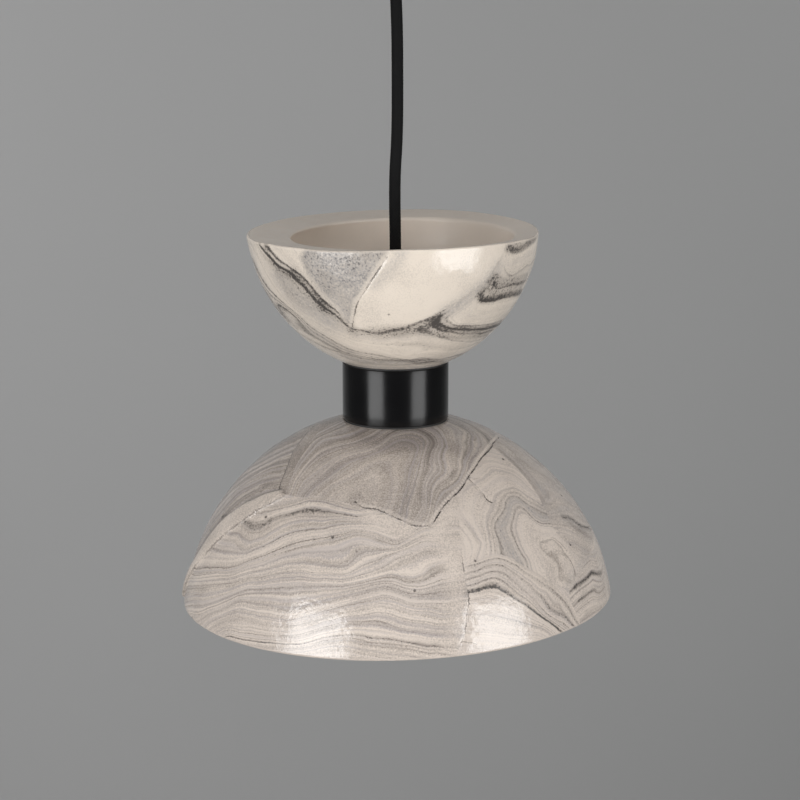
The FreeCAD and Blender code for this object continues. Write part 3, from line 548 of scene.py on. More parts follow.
DOME_SLABS = [
    # The large slab at the lower left, its layers nearly level
    Slab(0, 0.87, 0.0, 1.0, DOME_LIP_FOOT[:1] + DOME_SEAM_MIDDLE + DOME_SEAM_FALL + DOME_SEAM_UPRIGHT
         + DOME_SEAM_FOOT + DOME_LIP_FOOT[:0:-1], [
        (4, [(-54, 40), (-45, 36), (-38, 32), (-29, 29), (-17, 31)]),
        (9, [(-58, 45), (-49, 44), (-44, 40), (-36, 35), (-29, 33), (-22, 33), (-14, 34)]),
        (18, [(-67, 62), (-57, 60), (-49, 57), (-43, 52), (-37, 46), (-31, 42), (-24, 40)]),
        (25, [(-78, 79), (-63, 71), (-53, 66), (-46, 60), (-32, 48), (-17, 42), (-10, 40), (0, 45)]),
        (36, [(-66, 84), (-52, 74), (-40, 66), (-28, 61), (-15, 60), (-9, 56), (-4, 52), (1, 49), (8, 45)]),
        (45, [(-72, 96), (-60, 89), (-47, 77), (-40, 72), (-23, 67), (-10, 64), (-2, 61), (4, 63), (13, 59)]),
        (51, [(-66, 101), (-50, 85), (-44, 80), (-29, 77), (-17, 71), (-4, 65), (4, 68), (12, 68)]),
        (75, [(-48, 100), (-28, 96), (-16, 90), (-10, 89), (1, 92), (14, 97)]),
    ]),
    # The pale lip along its upper left edge, and the grey strip above that
    Slab(2, 0.78, 1.9, 0.0, DOME_LIP_TOP + DOME_LIP_FOOT[::-1]),
    Slab(2, 0.26, 0.3, 0.0, DOME_SEAM_LEFT + DOME_STRIP_LEFT[::-1]),
    # The slab under the collar, its layers in a fan at the left and combed down at the right
    Slab(1, 0.53, 0.2, 1.1, DOME_STRIP_LEFT + DOME_SEAM_MIDDLE + DOME_SEAM_FALL + DOME_SEAM_RIGHT, [
        (108, [(-31, 26), (-28, 21), (-22, 16), (-15, 12), (-4, 8)]),
        (116, [(-38, 28), (-35, 22), (-32, 15), (-26, 11), (-15, 8), (-8, 5)]),
        (124, [(-42, 28), (-43, 21), (-42, 15), (-38, 10), (-29, 7), (-18, 4)]),
        (134, [(-46, 26), (-50, 18), (-54, 12), (-57, 7), (-50, 3)]),
        (110, [(12, 6), (6, 14), (3, 21), (1, 29)]),
        (118, [(24, 4), (14, 12), (10, 19), (5, 30)]),
        (126, [(38, 4), (29, 9), (21, 15), (15, 22), (11, 32)]),
        (133, [(52, 5), (38, 11), (27, 18), (19, 23), (14, 29), (11, 37)]),
        (138, [(70, 7), (50, 10.5), (40, 14.5), (32, 19), (24, 24), (16, 31), (12, 38)]),
    ]),
    # The slab at the upper left, which goes round to the back
    Slab(0, 0.50, 0.0, 1.25, DOME_SEAM_LEFT + DOME_LIP_TOP + less_a_turn(DOME_BACK_LEFT[::-1]), [
        (160, [(-73, 11), (-80, 17), (-88, 26), (-98, 40)]),
        (168, [(-60, 16), (-71, 21), (-79, 28), (-86, 42), (-92, 62)]),
        (178, [(-53, 26), (-62, 31), (-70, 40), (-76, 56), (-86, 78)]),
        (155, [(-105, 12), (-115, 24), (-128, 34), (-145, 30)]),
        (172, [(-100, 60), (-115, 66), (-130, 78), (-145, 74)]),
        (182, [(-98, 92), (-112, 96), (-130, 100), (-145, 98)]),
    ]),
    # The right slab, with folds like hairpins
    Slab(2, 0.97, -0.2, 0.55, DOME_SEAM_FALL[2:] + DOME_SEAM_RIGHT[:3] + DOME_SHADE_LEFT + DOME_CUSP
         + DOME_ARC_TOP[::-1] + DOME_SEAM_UPRIGHT[::-1], [
        (205, [(28, 25), (23, 32), (23, 37), (25, 42), (26, 48)]),
        (203, [(40, 20), (50, 18), (58, 22), (60, 30)]),
        (212, [(28, 54), (30, 46), (33, 38), (37, 32), (44, 28), (50, 28), (54, 31), (58, 38)]),
        (216, [(32, 51), (34, 42), (40, 35), (46, 31), (50, 32), (52, 36), (56, 42)]),
        (222, [(40, 59), (39, 51), (39, 44), (43, 38), (47, 36), (49, 38), (50, 42), (53, 46)]),
        (228, [(43, 66), (43, 53), (44, 45), (47, 43), (50, 47), (54, 50)]),
        (233, [(49, 75), (50, 63), (54, 56)]),
    ]),
    # The grey streak in it, and the slab beyond that
    Slab(1, 0.52, 0.0, 0.4, DOME_SHADE_LEFT + DOME_SHADE_RIGHT[::-1]),
    Slab(0, 0.74, -0.2, 0.55, DOME_SEAM_RIGHT[3:] + DOME_BACK_RIGHT + DOME_FAR_EDGE[::-1] + DOME_CUSP[::-1]
         + DOME_SHADE_RIGHT[::-1], [
        (320, [(76, 12), (76, 18), (77, 25), (80, 33), (90, 38), (110, 36)]),
        (326, [(64, 40), (72, 40), (82, 47), (95, 56), (112, 54)]),
        (331, [(61, 47), (66, 48), (71, 51), (75, 57), (91, 68)]),
        (337, [(60, 54), (65, 58), (72, 66)]),
    ]),
    # The lower right slab, with dark arcs
    Slab(1, 1.04, 0.0, 0.6, DOME_SEAM_UPRIGHT[2:] + DOME_ARC_TOP + DOME_FOLD_EDGE + DOME_SEAM_FOOT[::-1], [
        (256, [(20, 59), (25, 58), (29, 57), (33, 59), (37, 65), (41, 73), (46, 82), (52, 99)]),
        (266, [(19, 70), (26, 69), (29, 71), (33, 77), (37, 84), (41, 92), (46, 101)]),
        (273, [(19, 76), (23, 77), (27, 78), (31, 82), (35, 87), (40, 94), (43, 99)]),
        (288, [(17, 95), (24, 98), (32, 102)]),
    ]),
    # The far right slab, with dark folded bands
    Slab(2, 0.94, 0.1, 0.8, DOME_ARC_TOP[5:] + DOME_FAR_EDGE + DOME_BACK_LOW + DOME_FOLD_EDGE[::-1], [
        (360, [(53, 82), (57, 80), (63, 80), (67, 79), (74, 84), (90, 80), (110, 84)]),
        (368, [(55, 89), (59, 88), (64, 88), (70, 92), (90, 90), (112, 94)]),
        (378, [(58, 99), (75, 101), (95, 98), (112, 103)]),
    ]),
    # Two slabs at the back
    Slab(1, 0.62, 0.0, 1.0, DOME_BACK_RIGHT + DOME_FAR_EDGE[3:] + DOME_BACK_LOW + DOME_BACK_MIDDLE[::-1], [
        (4, [(124, 12), (145, 20), (172, 12)]),
        (18, [(122, 36), (140, 48), (170, 38)]),
        (36, [(118, 62), (135, 68), (155, 60), (172, 64)]),
        (45, [(122, 78), (140, 84), (170, 76)]),
        (75, [(122, 99), (150, 103), (172, 95)]),
    ]),
    Slab(2, 0.60, 0.0, 1.0, DOME_BACK_MIDDLE + DOME_BACK_LEFT[::-1], [
        (250, [(176, 6), (195, 14), (212, 6)]),
        (256, [(174, 28), (192, 44), (212, 30)]),
        (266, [(170, 54), (190, 67), (210, 52)]),
        (273, [(170, 76), (192, 86), (212, 76)]),
        (288, [(170, 98), (192, 104), (210, 98)]),
    ]),
]

# Cracks between slabs, and one painted shadow line drawn like a crack: how open, how much of a ridge stands
# along their left, and their line
DOME_CRACKS = [
    (0.8, 0.4, [(-15, 28), (-12, 30), (-8, 30.5), (-4, 32), (1, 35), (6, 38), (11, 38.5)]),
    (1.0, 1.0, [(11, 38.5)] + DOME_SEAM_FALL + DOME_SEAM_RIGHT[:5]),
    (0.6, 0.0, [(19, 52), (19, 65), (19, 75), (18, 82), (17, 91), (15.5, 97)]),
    (0.9, 0.0, [(32.5, 20), (34, 23), (35, 27), (35.5, 30), (37, 31.5)]),
    (0.55, 0.0, [(66, 48), (71, 51), (75, 57), (88, 66)]),
    (0.6, 0.0, DOME_SEAM_LEFT[1:]),
    (0.5, 0.0, DOME_LIP_TOP[:5]),
    # Along the foot of the raised lip: a thin dark line of painted shadow under the lip, drawn as a crack
    (0.35, 0.0, DOME_LIP_FOOT),
    (0.6, 0.0, DOME_BACK_MIDDLE),
    (0.5, 0.0, DOME_BACK_RIGHT + DOME_FAR_EDGE[3:] + DOME_BACK_LOW),
]

# Stains: how strong, how wide, and the line that they follow. Dark ones are grainy, grey ones soft. A few
# also paint shade or shadow, as noted beside them.
DOME_DARK_STAINS_AND_SHADOW = [
    (0.55, 1.6, [(66, 47.5), (71, 51), (75, 57), (86, 65)]),
    (0.45, 1.2, [(68, 52), (72, 58), (77, 63)]),
    (0.45, 1.5, [(24, 18), (29, 16)]),
    (0.3, 2.4, [(55, 81), (59, 80), (65, 79), (69, 80), (73, 83)]),
    (0.25, 1.8, [(55, 89), (60, 88), (66, 88), (70, 90)]),
    (0.3, 1.4, [(57, 97), (62, 97), (67, 99)]),
    (0.35, 1.8, [(68, 13), (66, 17), (64, 22), (63, 27), (62, 33), (60, 38)]),
    # Dark clay along the top of the raised lip, darkened further by painted shadow of the lip
    (0.75, 1.5, [(-50, 27.5), (-56, 31.5), (-61, 35), (-64, 39), (-67, 44), (-73, 49)]),
    (0.24, 1.2, [(2, 7), (-12, 10), (-21, 14), (-27, 19), (-32, 25)]),
    (0.22, 1.4, [(1, 12), (-8, 16), (-13, 21), (-14, 26)]),
    (0.2, 1.2, [(1, 19), (-3, 22), (-6, 27)]),
    (0.25, 1.0, [(20, 34), (22, 37), (24, 42), (25, 48)]),
    (0.3, 0.9, [(19, 70), (26, 69), (29, 71), (33, 77), (37, 84), (41, 92), (46, 101)]),
]
DOME_GREY_STAINS = [
    (0.5, 3.5, [(66, 48), (71, 52), (75, 58)]),
    (0.4, 3.5, [(66, 32), (75, 34), (82, 39), (83, 46)]),
    (0.4, 3.0, [(66, 33), (65, 37), (61, 39), (57, 40)]),
    (0.35, 3.0, [(58, 45), (65, 44), (74, 47)]),
    (0.4, 3.0, [(52, 79), (57, 74), (68, 69)]),
]
DOME_BROWN_STAINS_AND_SHADE = [
    # Brown clay and painted shade under the collar, darker towards the seat
    (0.28, 9.0, [(-32, 4), (-15, 4), (2, 5), (12, 4), (29, 4), (36, 8)]),
    (0.25, 5.0, [(23, 6), (18, 12)]),
    (0.12, 9.0, [(-12, 22), (0, 24), (3, 30)]),
    (0.14, 4.5, [(27, 19), (21, 24), (15, 30)]),
    (0.2, 4.5, [(20, 64), (26, 63), (31, 66), (36, 74), (41, 83), (46, 92), (50, 99)]),
]
DOME_FAINT_BANDS = [
    (1.0, 9.0, [(84, 70), (81, 84), (77, 95), (75, 105)]),
    (0.9, 8.0, [(23, 29), (19, 33), (14, 42), (16, 47), (17, 53)]),
    (0.9, 5.0, [(-9, 34), (-3, 36), (3, 40)]),
    (0.6, 5.0, [(16, 60), (15.5, 75), (15, 85), (13, 95)]),
]

BOWL_SEAM_LEFT = [(-33, 77), (-38, 68), (-36, 58), (-31, 49), (-26, 41), (-20, 28)]
BOWL_SEAM_MIDDLE = [(-17, 37), (-15, 43), (-11, 51), (-7, 59), (-2, 69), (0, 77)]
BOWL_SEAM_LOW = [(-9, 27), (-1, 29), (6, 30), (12, 33), (18, 36)]
BOWL_SEAM_RIGHT = [(24, 40), (30, 45), (37, 51), (42, 58), (46, 68), (48, 77)]
BOWL_HOOK_FOOT = [(17, 28), (24, 22), (36, 18), (50, 15), (78, 14), (98, 13)]
BOWL_BACK_RIGHT = [(95, 40), (102, 60), (97, 77)]
BOWL_BACK_MIDDLE = [(180, -3), (186, 25), (178, 50), (185, 77)]
BOWL_BACK_LEFT = [(262, -3), (257, 25), (263, 50), (260, 77)]

BOWL_SLABS = [
    # The left side and the foot
    Slab(0, 0.93, 0.0, 0.3, less_a_turn(BOWL_BACK_LEFT[::-1]) + [(98, -3)] + BOWL_HOOK_FOOT[::-1]
         + BOWL_SEAM_LOW[::-1] + BOWL_SEAM_LEFT[::-1], [
        (2, [(-73, 31), (-58, 24), (-49, 18), (-41, 14), (-26, 10), (-5, 8), (15, 7), (45, 4)]),
        (5, [(-66, 45), (-50, 33), (-46, 26), (-38, 20), (-28, 14), (-12, 11), (9, 8), (26, 6), (60, 7)]),
        (10, [(-66, 63), (-61, 52), (-55, 42), (-48, 35), (-39, 29), (-30, 24), (-16, 19), (5, 18),
              (30, 14)]),
        (16, [(-61, 69), (-56, 65), (-50, 60), (-44, 57), (-40, 52), (-36, 46), (-32, 40), (-26, 35),
              (-21, 28), (-9, 25), (-1, 27), (6, 28), (12, 31), (17, 33)]),
        (19.5, [(-56, 72), (-54, 70), (-49, 65), (-43, 61), (-38, 57), (-34, 51), (-30, 44), (-25, 38)]),
        (24, [(-46, 72), (-43, 66), (-39, 62)]),
    ]),
    # The grey triangle
    Slab(1, 0.85, 0.0, 0.0, BOWL_SEAM_LEFT + BOWL_SEAM_MIDDLE),
    # The cream field
    Slab(2, 1.0, 0.4, 0.0, BOWL_SEAM_MIDDLE[::-1] + BOWL_SEAM_LEFT[-1:] + BOWL_SEAM_LOW + BOWL_SEAM_RIGHT),
    # Dark hooks at the right
    Slab(1, 0.92, 0.0, 0.3, BOWL_SEAM_RIGHT[::-1] + BOWL_SEAM_LOW[-1:] + BOWL_HOOK_FOOT + BOWL_BACK_RIGHT, [
        (116, [(16, 30), (21, 26), (33, 22), (48, 19), (77, 18)]),
        (120, [(38, 50), (30, 43), (25, 38), (20, 34), (22, 30), (30, 27), (43, 25), (70, 23)]),
        (124, [(37, 45), (33, 41), (28, 37), (25, 34), (29, 30), (41, 28), (64, 27), (90, 27)]),
        (132, [(48, 68), (45, 60), (41, 51), (38, 46), (41, 42), (54, 42), (74, 41), (92, 42)]),
        (138, [(48, 64), (46, 57), (44, 52), (47, 49), (56, 49), (70, 48), (90, 50)]),
        (142, [(49, 66), (48, 60), (54, 55), (62, 56), (70, 58), (88, 60)]),
        (148, [(49, 71), (52, 67), (60, 67), (69, 69), (80, 71)]),
    ]),
    # The back
    Slab(2, 0.88, 0.0, 0.35, [(98, -3), (98, 18)] + BOWL_BACK_RIGHT + BOWL_BACK_MIDDLE[::-1], [
        (2, [(105, 10), (130, 6), (170, 10)]),
        (8, [(100, 30), (125, 24), (150, 34), (180, 26)]),
        (16, [(100, 48), (120, 40), (150, 54), (180, 44)]),
        (22, [(102, 70), (130, 62), (155, 72), (180, 64)]),
    ]),
    Slab(1, 0.88, 0.0, 0.35, BOWL_BACK_MIDDLE + BOWL_BACK_LEFT[::-1], [
        (120, [(186, 12), (215, 20), (258, 14)]),
        (128, [(184, 30), (205, 40), (235, 34), (258, 44)]),
        (132, [(182, 48), (205, 56), (235, 46), (260, 58)]),
        (142, [(184, 70), (215, 74), (258, 68)]),
    ]),
]

BOWL_DARK_STAINS = [
    (0.85, 4.8, [(-41, 57), (-37, 51), (-34, 46), (-31, 40)]),
    (0.5, 2.6, [(-58, 70), (-55, 65), (-50, 60), (-43, 56.5)]),
    (0.5, 3.2, [(-32, 41), (-28, 37), (-23, 33), (-20, 28)]),
    (0.48, 4.4, [(-20, 25), (-14, 25.5), (-9, 26.5), (-3, 27.5), (3, 27), (8, 27.5), (13, 29), (19, 32)]),
    (0.7, 2.5, [(20.5, 35), (19.5, 33.5), (20, 30.5), (26, 28), (34, 27), (48, 25), (66, 24), (78, 23)]),
    (0.5, 2.2, [(13, 27), (20, 25), (30, 22), (45, 20), (67, 18)]),
    (0.3, 3.0, [(18, 31), (23, 27), (30, 25), (42, 23), (65, 21)]),
    (0.85, 2.5, [(38, 46), (40, 43), (46, 42.5), (55, 42.5), (74, 41.5)]),
    (0.5, 2.8, [(40, 49), (45, 47), (55, 46), (69, 45)]),
    (0.68, 2.0, [(41, 53), (47, 51), (56, 49.5), (71, 48.5)]),
    (0.55, 1.8, [(43, 56), (48, 54), (56, 52.5), (72, 52.5)]),
    (0.7, 2.4, [(49, 70), (55, 68), (65, 70.5), (75, 72)]),
    (0.45, 1.2, [(-41, 14), (-32, 10), (-19, 8), (-5, 8), (9, 8), (20, 9)]),
    (0.4, 1.2, [(-36, 7.5), (-21, 6.3), (-6, 6), (9, 6.3), (24, 7)]),
    (0.45, 1.2, [(-41, 8.5), (-32, 5.5), (-16, 4.2), (0, 4), (20, 4.8), (33, 5.4)]),
]
BOWL_GREY_STAINS = [
    (0.5, 5.0, [(23, 37), (29, 42), (34, 48), (39, 53), (44, 60)]),
    (0.5, 4.0, [(3, 72), (1, 66), (-3, 60), (-7, 54)]),
    (0.6, 8.5, [(-50, 54), (-45, 47), (-38, 39), (-31, 32)]),
    (0.6, 4.0, [(-40, 9), (-22, 6), (0, 6), (20, 6), (36, 6)]),
    (0.5, 3.0, [(-60, 1.5), (-20, 1), (0, 1), (20, 1), (60, 1.5)]),
    (0.35, 5.0, [(-62, 33), (-50, 24), (-40, 16), (-30, 11)]),
    (0.35, 6.0, [(50, 52), (62, 51), (76, 50)]),
]
BOWL_FAINT_BANDS = [
    (0.95, 5.5, [(27, 40), (34, 48), (39, 53), (44, 60), (46, 68)]),
    (0.6, 5.0, [(-16, 25), (-9, 26), (-3, 27.5), (8, 28), (17, 33)]),
]

BOWL_CRACKS = [
    (0.7, 0.4, BOWL_SEAM_LEFT[-1:] + BOWL_SEAM_MIDDLE[:-1]),
    (0.5, 0.0, BOWL_BACK_MIDDLE[1:]),
]


# Slabs, cracks and stains over a shell, in millimetres

OUTLINE_STEP = 6.0
SLAB_OVERLAP = 8.0
SEAM_BLEND = 0.8
SEAM_LIMIT = 20.0
NO_SLAB = -60.0
NO_LAYERS = -100.0
PLATE_UNIT = 100.0
PLATE_GIVE = 2e-4
PLATE_SLOPE_GIVE = 1e-6
CRACK_REACH = 6.0
CRACK_FADE = 3.0
NEARLY_NOTHING = 1e-6
TINY = 1e-9
FAR = 1e9


def spot_on_dome(places):
    """Points on the dome's round outside, from azimuths and drops."""
    azimuth, drop = np.asarray(places, dtype=float).T
    radius = np.sqrt(DOME_SPHERE_RADIUS**2 - (DOME_CENTRE_DROP - drop) ** 2)
    return round_the_axis(radius, azimuth, DOME_TOP - drop)


def spot_on_bowl(places):
    """Points on the bowl's round outside, from azimuths and heights above its foot."""
    azimuth, height = np.asarray(places, dtype=float).T
    centre_radius, centre_height = BOWL_BELLY_CENTRE
    radius = centre_radius + np.sqrt(BOWL_BELLY_RADIUS**2 - (height - centre_height) ** 2)
    return round_the_axis(radius, azimuth, BOWL_FOOT + height)


def between(places, step):
    """More places along a closed line, in straight runs."""
    corners = np.asarray(places + places[:1], dtype=float)
    out = []
    for a, b in zip(corners[:-1], corners[1:]):
        count = max(1, int(np.ceil(np.abs(b - a).max() / step)))
        out.append(a + (b - a) * np.arange(count)[:, None] / count)
    out.append(corners[-1:])
    return np.concatenate(out)


def smooth_line(places, per_run=4):
    """More places along a line, in smooth bends through the given ones."""
    corners = np.asarray(places, dtype=float)
    padded = np.concatenate([2 * corners[:1] - corners[1:2], corners, 2 * corners[-1:] - corners[-2:-1]])
    share = (np.arange(per_run) / per_run)[:, None]
    out = []
    for a, b, c, d in zip(padded, padded[1:], padded[2:], padded[3:]):
        out.append(
            b
            + 0.5 * share * (c - a)
            + share**2 * (a - 2.5 * b + 2 * c - 0.5 * d)
            + share**3 * (1.5 * (b - c) + 0.5 * (d - a))
        )
    out.append(corners[-1:])
    return np.concatenate(out)


def from_run(spots, start, end):
    """How far along a straight run each spot is, as a share, and how it lies from the run's nearest point."""
    run = end - start
    share = (spots - start) @ run / max(run @ run, TINY)
    return share, spots - start - np.clip(share, 0, 1)[:, None] * run


def squared_distance(spots, ends):
    """The square of each spot's distance to a line of straight runs."""
    nearest = np.full(len(spots), FAR)
    for start, end in zip(ends, ends[1:]):
        _, offset = from_run(spots, start, end)
        nearest = np.minimum(nearest, (offset**2).sum(axis=1))
    return nearest


def depth_inside(slab, locate, spots, places):
    """How far each spot is inside a slab's outline, in millimetres, and negative outside it."""
    outline = between(slab.outline, OUTLINE_STEP)
    middle = outline[:, 0].mean()
    azimuth = (places[:, 0] - middle + 180) % 360 - 180 + middle
    level = places[:, 1]
    inside = np.zeros(len(spots), dtype=bool)
    for (a0, d0), (a1, d1) in zip(outline, outline[1:]):
        if d0 != d1:
            crosses = (d0 > level) != (d1 > level)
            inside ^= crosses & (azimuth < (a1 - a0) * (level - d0) / (d1 - d0) + a0)
    return np.where(inside, 1, -1) * np.sqrt(squared_distance(spots, locate(outline)))


def thin_plate(distance):
    return distance**2 * np.log(np.maximum(distance, NEARLY_NOTHING))


def layer_depth(slab, locate, spots):
    """The depth in a slab's layers at each spot: a smooth surface through its lines."""
    if not slab.lines:
        return np.full(len(spots), NO_LAYERS)
    places, depths = [], []
    for depth, line in slab.lines:
        points = locate(smooth_line(line))
        places.append(points)
        depths += [depth] * len(points)
    places = np.concatenate(places) / PLATE_UNIT
    spots = spots / PLATE_UNIT
    count = len(places)
    system = np.zeros((count + 4, count + 4))
    system[:count, :count] = thin_plate(np.linalg.norm(places[:, None] - places[None], axis=2))
    system[:count, :count] += np.eye(count) * PLATE_GIVE
    system[:count, count] = 1
    system[:count, count + 1 :] = places
    system[count:, :count] = system[:count, count:].T
    system[count:, count:] -= np.eye(4) * PLATE_SLOPE_GIVE
    weights = np.linalg.solve(system, np.concatenate([depths, np.zeros(4)]))
    depth = weights[count] + spots @ weights[count + 1 :]
    for place, weight in zip(places, weights):
        depth += weight * thin_plate(np.linalg.norm(spots - place, axis=1))
    return depth


def lay_slabs(slabs, locate, spots, places):
    """For each of three layers: depth in the clay, tone and distance inside its slab. Then lift and veins."""
    layers = np.zeros((3, len(spots), 3))
    layers[:, :, 2] = NO_SLAB
    extras = np.zeros((3, len(spots), 2))
    for slab in slabs:
        inside = depth_inside(slab, locate, spots, places)
        better = (inside > layers[slab.layer, :, 2]) & (inside > -SLAB_OVERLAP)
        layers[slab.layer, better, 0] = layer_depth(slab, locate, spots[better])
        layers[slab.layer, better, 1] = slab.tone
        layers[slab.layer, better, 2] = inside[better]
        extras[slab.layer, better] = (slab.lift, slab.veins)
    share = np.exp(np.clip(layers[:, :, 2], -SEAM_LIMIT, SEAM_LIMIT) / SEAM_BLEND)[:, :, None]
    lift, veins = ((share * extras).sum(axis=0) / share.sum(axis=0)).T
    return layers, lift, veins


def crack_field(cracks, locate, spots, centre):
    """Distance to the nearest crack, negative on its right, how open that is, its ridge, and its run."""
    field = np.zeros((len(spots), 4))
    field[:, 0] = CRACK_REACH
    nearest = np.full(len(spots), CRACK_REACH)
    outward = spots - np.array(centre)
    for openness, ridge, line in cracks:
        ends = locate(smooth_line(line))
        last = len(ends) - 2
        travelled = 0.0
        for number, (start, end) in enumerate(zip(ends, ends[1:])):
            share, offset = from_run(spots, start, end)
            length = np.linalg.norm(end - start)
            distance = np.linalg.norm(offset, axis=1)
            side = np.sign((np.cross(end - start, offset) * outward).sum(axis=1))
            beyond = ((share < 0) & (number == 0)) | ((share > 1) & (number == last))
            near = np.clip((CRACK_REACH - distance) / CRACK_FADE, 0, 1) * ~beyond
            along = travelled + np.clip(share, 0, 1) * length
            travelled += length
            closer = distance < nearest
            nearest[closer] = distance[closer]
            field[closer] = np.stack([side * distance, openness * near, ridge * near, along], axis=1)[closer]
    return field


def stain(lines, locate, spots):
    """How strong the stains along some lines are at each spot."""
    total = np.zeros(len(spots))
    for amount, width, line in lines:
        total += amount * np.exp(-squared_distance(spots, locate(smooth_line(line))) / width**2)
    return total


# Bands: (depth in the layers, rise before it, fall after it, darkness), by the start of their run of clay
BAND_RUN = 50.0
DOME_BANDS = {
    0: [
        (2.4, 0.4, 0.7, 0.4), (4, 0.5, 0.9, 0.6), (9, 1.8, 2.6, 0.85), (18, 0.5, 0.9, 0.55),
        (25, 0.5, 0.9, 0.6), (27.5, 0.4, 0.8, 0.45), (30, 0.4, 0.6, 0.3), (36, 0.5, 0.8, 0.4),
        (45, 0.5, 1.0, 0.4), (47.5, 0.4, 0.7, 0.35),
    ],
    50: [
        (51.5, 0.4, 0.9, 0.4), (54, 0.4, 0.7, 0.35), (58, 0.4, 0.6, 0.3), (62, 0.4, 0.7, 0.3),
        (66, 0.4, 0.6, 0.3), (70, 0.5, 0.9, 0.3), (75, 0.9, 0.6, 0.85), (78, 0.4, 0.6, 0.4),
        (81, 0.5, 1.2, 0.3),
    ],
    100: [
        (112, 0.6, 1.4, 0.2), (116, 0.5, 1.0, 0.25), (121, 0.5, 0.9, 0.25), (126, 0.5, 1.2, 0.3),
        (130, 0.5, 0.9, 0.25), (134, 0.6, 1.2, 0.3), (138, 0.6, 1.2, 0.3),
    ],
    150: [
        (160, 0.6, 1.2, 0.4), (164, 0.5, 0.8, 0.4), (168, 0.7, 1.4, 0.5), (172, 0.5, 1.0, 0.4),
        # The band at 178 runs along the top of the raised lip: dark clay with painted shadow of the lip
        (178, 2.4, 1.6, 0.6),
    ],
    200: [
        (205, 0.4, 0.7, 0.3), (212, 0.4, 0.9, 0.42), (213.9, 0.3, 0.6, 0.35), (216, 0.6, 1.5, 0.62),
        (218.4, 0.3, 0.6, 0.3), (220, 0.3, 0.6, 0.35), (222, 0.5, 1.2, 0.6), (224.2, 0.3, 0.6, 0.25),
    ],
    250: [
        (255, 0.4, 1.3, 0.55), (257.6, 0.4, 1.1, 0.55), (260.2, 0.4, 1.1, 0.55), (262.8, 0.4, 1.0, 0.6),
        (266.4, 2.6, 0.6, 1.0), (273, 0.4, 0.4, 0.5), (278, 1.6, 2.4, 0.3),
    ],
    300: [(320, 0.6, 2.0, 0.25), (326, 0.6, 2.2, 0.3), (331, 0.7, 2.4, 0.25)],
    350: [
        (360, 1.2, 2.2, 0.6), (363.5, 0.5, 0.8, 0.5), (368, 0.8, 1.4, 0.5), (372, 0.4, 0.7, 0.4),
        (378, 0.6, 0.9, 0.4),
    ],
}
BOWL_BANDS = {
    0: [
        (0.5, 0.6, 0.8, 0.7), (2, 0.6, 1.0, 0.9), (3.5, 0.5, 0.8, 0.7), (5, 0.6, 1.2, 0.85),
        (10, 0.4, 2.4, 0.3), (15.2, 3.8, 0.4, 0.3), (16.4, 1.0, 1.2, 1.0), (19.5, 1.2, 1.0, 1.05),
    ],
    100: [
        (114.6, 0.8, 0.6, 0.4), (117.8, 0.8, 1.0, 0.4), (120, 0.8, 1.0, 0.6), (123, 0.5, 1.2, 0.45),
        (132, 0.8, 3.6, 0.5), (138, 0.6, 1.2, 0.55), (142, 0.4, 0.6, 0.6), (148, 0.6, 2.0, 0.4),
    ],
}

LAYER_NAMES = ("clay_one", "clay_two", "clay_three")
LILAC_CLAY = (0.47, 0.425, 0.42)
GREY_HAZE = (0.385, 0.36, 0.347)
BROWN_LINE = (0.12, 0.098, 0.084)
BROWN_BAND = (0.17, 0.147, 0.13)
BLACK_BAND = (0.062, 0.054, 0.049)
CRACK_SHADOW = (0.045, 0.039, 0.034)
PIT_SHADOW = (0.06, 0.052, 0.046)
PITS_PER_METRE = 62.0
CELLS_WITHOUT_PIT = 0.62
RIB_SPACING = 2.3
DULL_GLAZE = 0.94

# How far ripples and grain shift the layers, then layers as (thickness, share of it that is a dark edge)
RIPPLE_SHIFT = 1.6
GRAIN_SHIFT = 0.9
LINE_LAYERS = (4.2, 0.14)
HAIR_LAYERS = (1.5, 0.45)
LAYERS_OF_DRIFT = 3.0
LAYER_STRIDE = 3.7


def band_ramp(clay, depth, start, bands):
    """How dark the bands of one run of clay are at a depth."""
    node = clay.add("ValToRGB")
    elements = node.color_ramp.elements
    elements.remove(elements[1])
    elements[0].position = 0
    elements[0].color = (0, 0, 0, 1)
    stops = {}
    for middle, rise, fall, darkness in bands:
        stops[middle] = darkness
        stops.setdefault(middle - rise, 0.0)
        stops.setdefault(middle + fall, 0.0)
    for place in sorted(stops):
        share = (place - start) / BAND_RUN
        if 0 < share < 1:
            elements.new(share).color = (stops[place],) * 3 + (1,)
    feed(clay.tree, node.inputs["Fac"], depth.spread(start, start + BAND_RUN))
    return Number(clay.tree, node.outputs["Color"])


def chosen_clay(clay):
    """The depth and tone of the slab that a place is furthest inside of."""
    first, second, third = (clay.stored_three(name) for name in LAYER_NAMES)
    take_second = second[2] > first[2]
    take_third = third[2] > calculate(clay.tree, "MAXIMUM", first[2], second[2])
    return [clay.chosen(take_third, clay.chosen(take_second, first[k], second[k]), third[k]) for k in (0, 1)]


def strata(clay, depth, thickness, edge):
    """Thin layers: their dark edges, from 0 to 1, and how far through its layer a place is."""
    drift = clay.blotches(9.0, 1.0, depth * 0.04)
    count = drift * LAYERS_OF_DRIFT + depth / thickness
    through = calculate(clay.tree, "FRACT", count)
    number = calculate(clay.tree, "FLOOR", count) * LAYER_STRIDE
    strength = clay.blotches(13.0, 1.0, number).spread(0.40, 0.64)
    return through.spread(0.0, edge, 1.0, 0.0) * strength, through


def small_pits(clay):
    """A few round pinholes in the glaze."""
    cells = clay.add("TexVoronoi")
    cells.inputs["Scale"].default_value = PITS_PER_METRE
    clay.tree.links.new(clay.place, cells.inputs["Vector"])
    picked = clay.add("SeparateColor")
    clay.tree.links.new(cells.outputs["Color"], picked.inputs[0])
    rare = Number(clay.tree, picked.outputs[0]) > CELLS_WITHOUT_PIT
    distance = Number(clay.tree, cells.outputs["Distance"])
    return distance.spread(0.03, 0.07, 1.0, 0.0, smooth=True) * rare


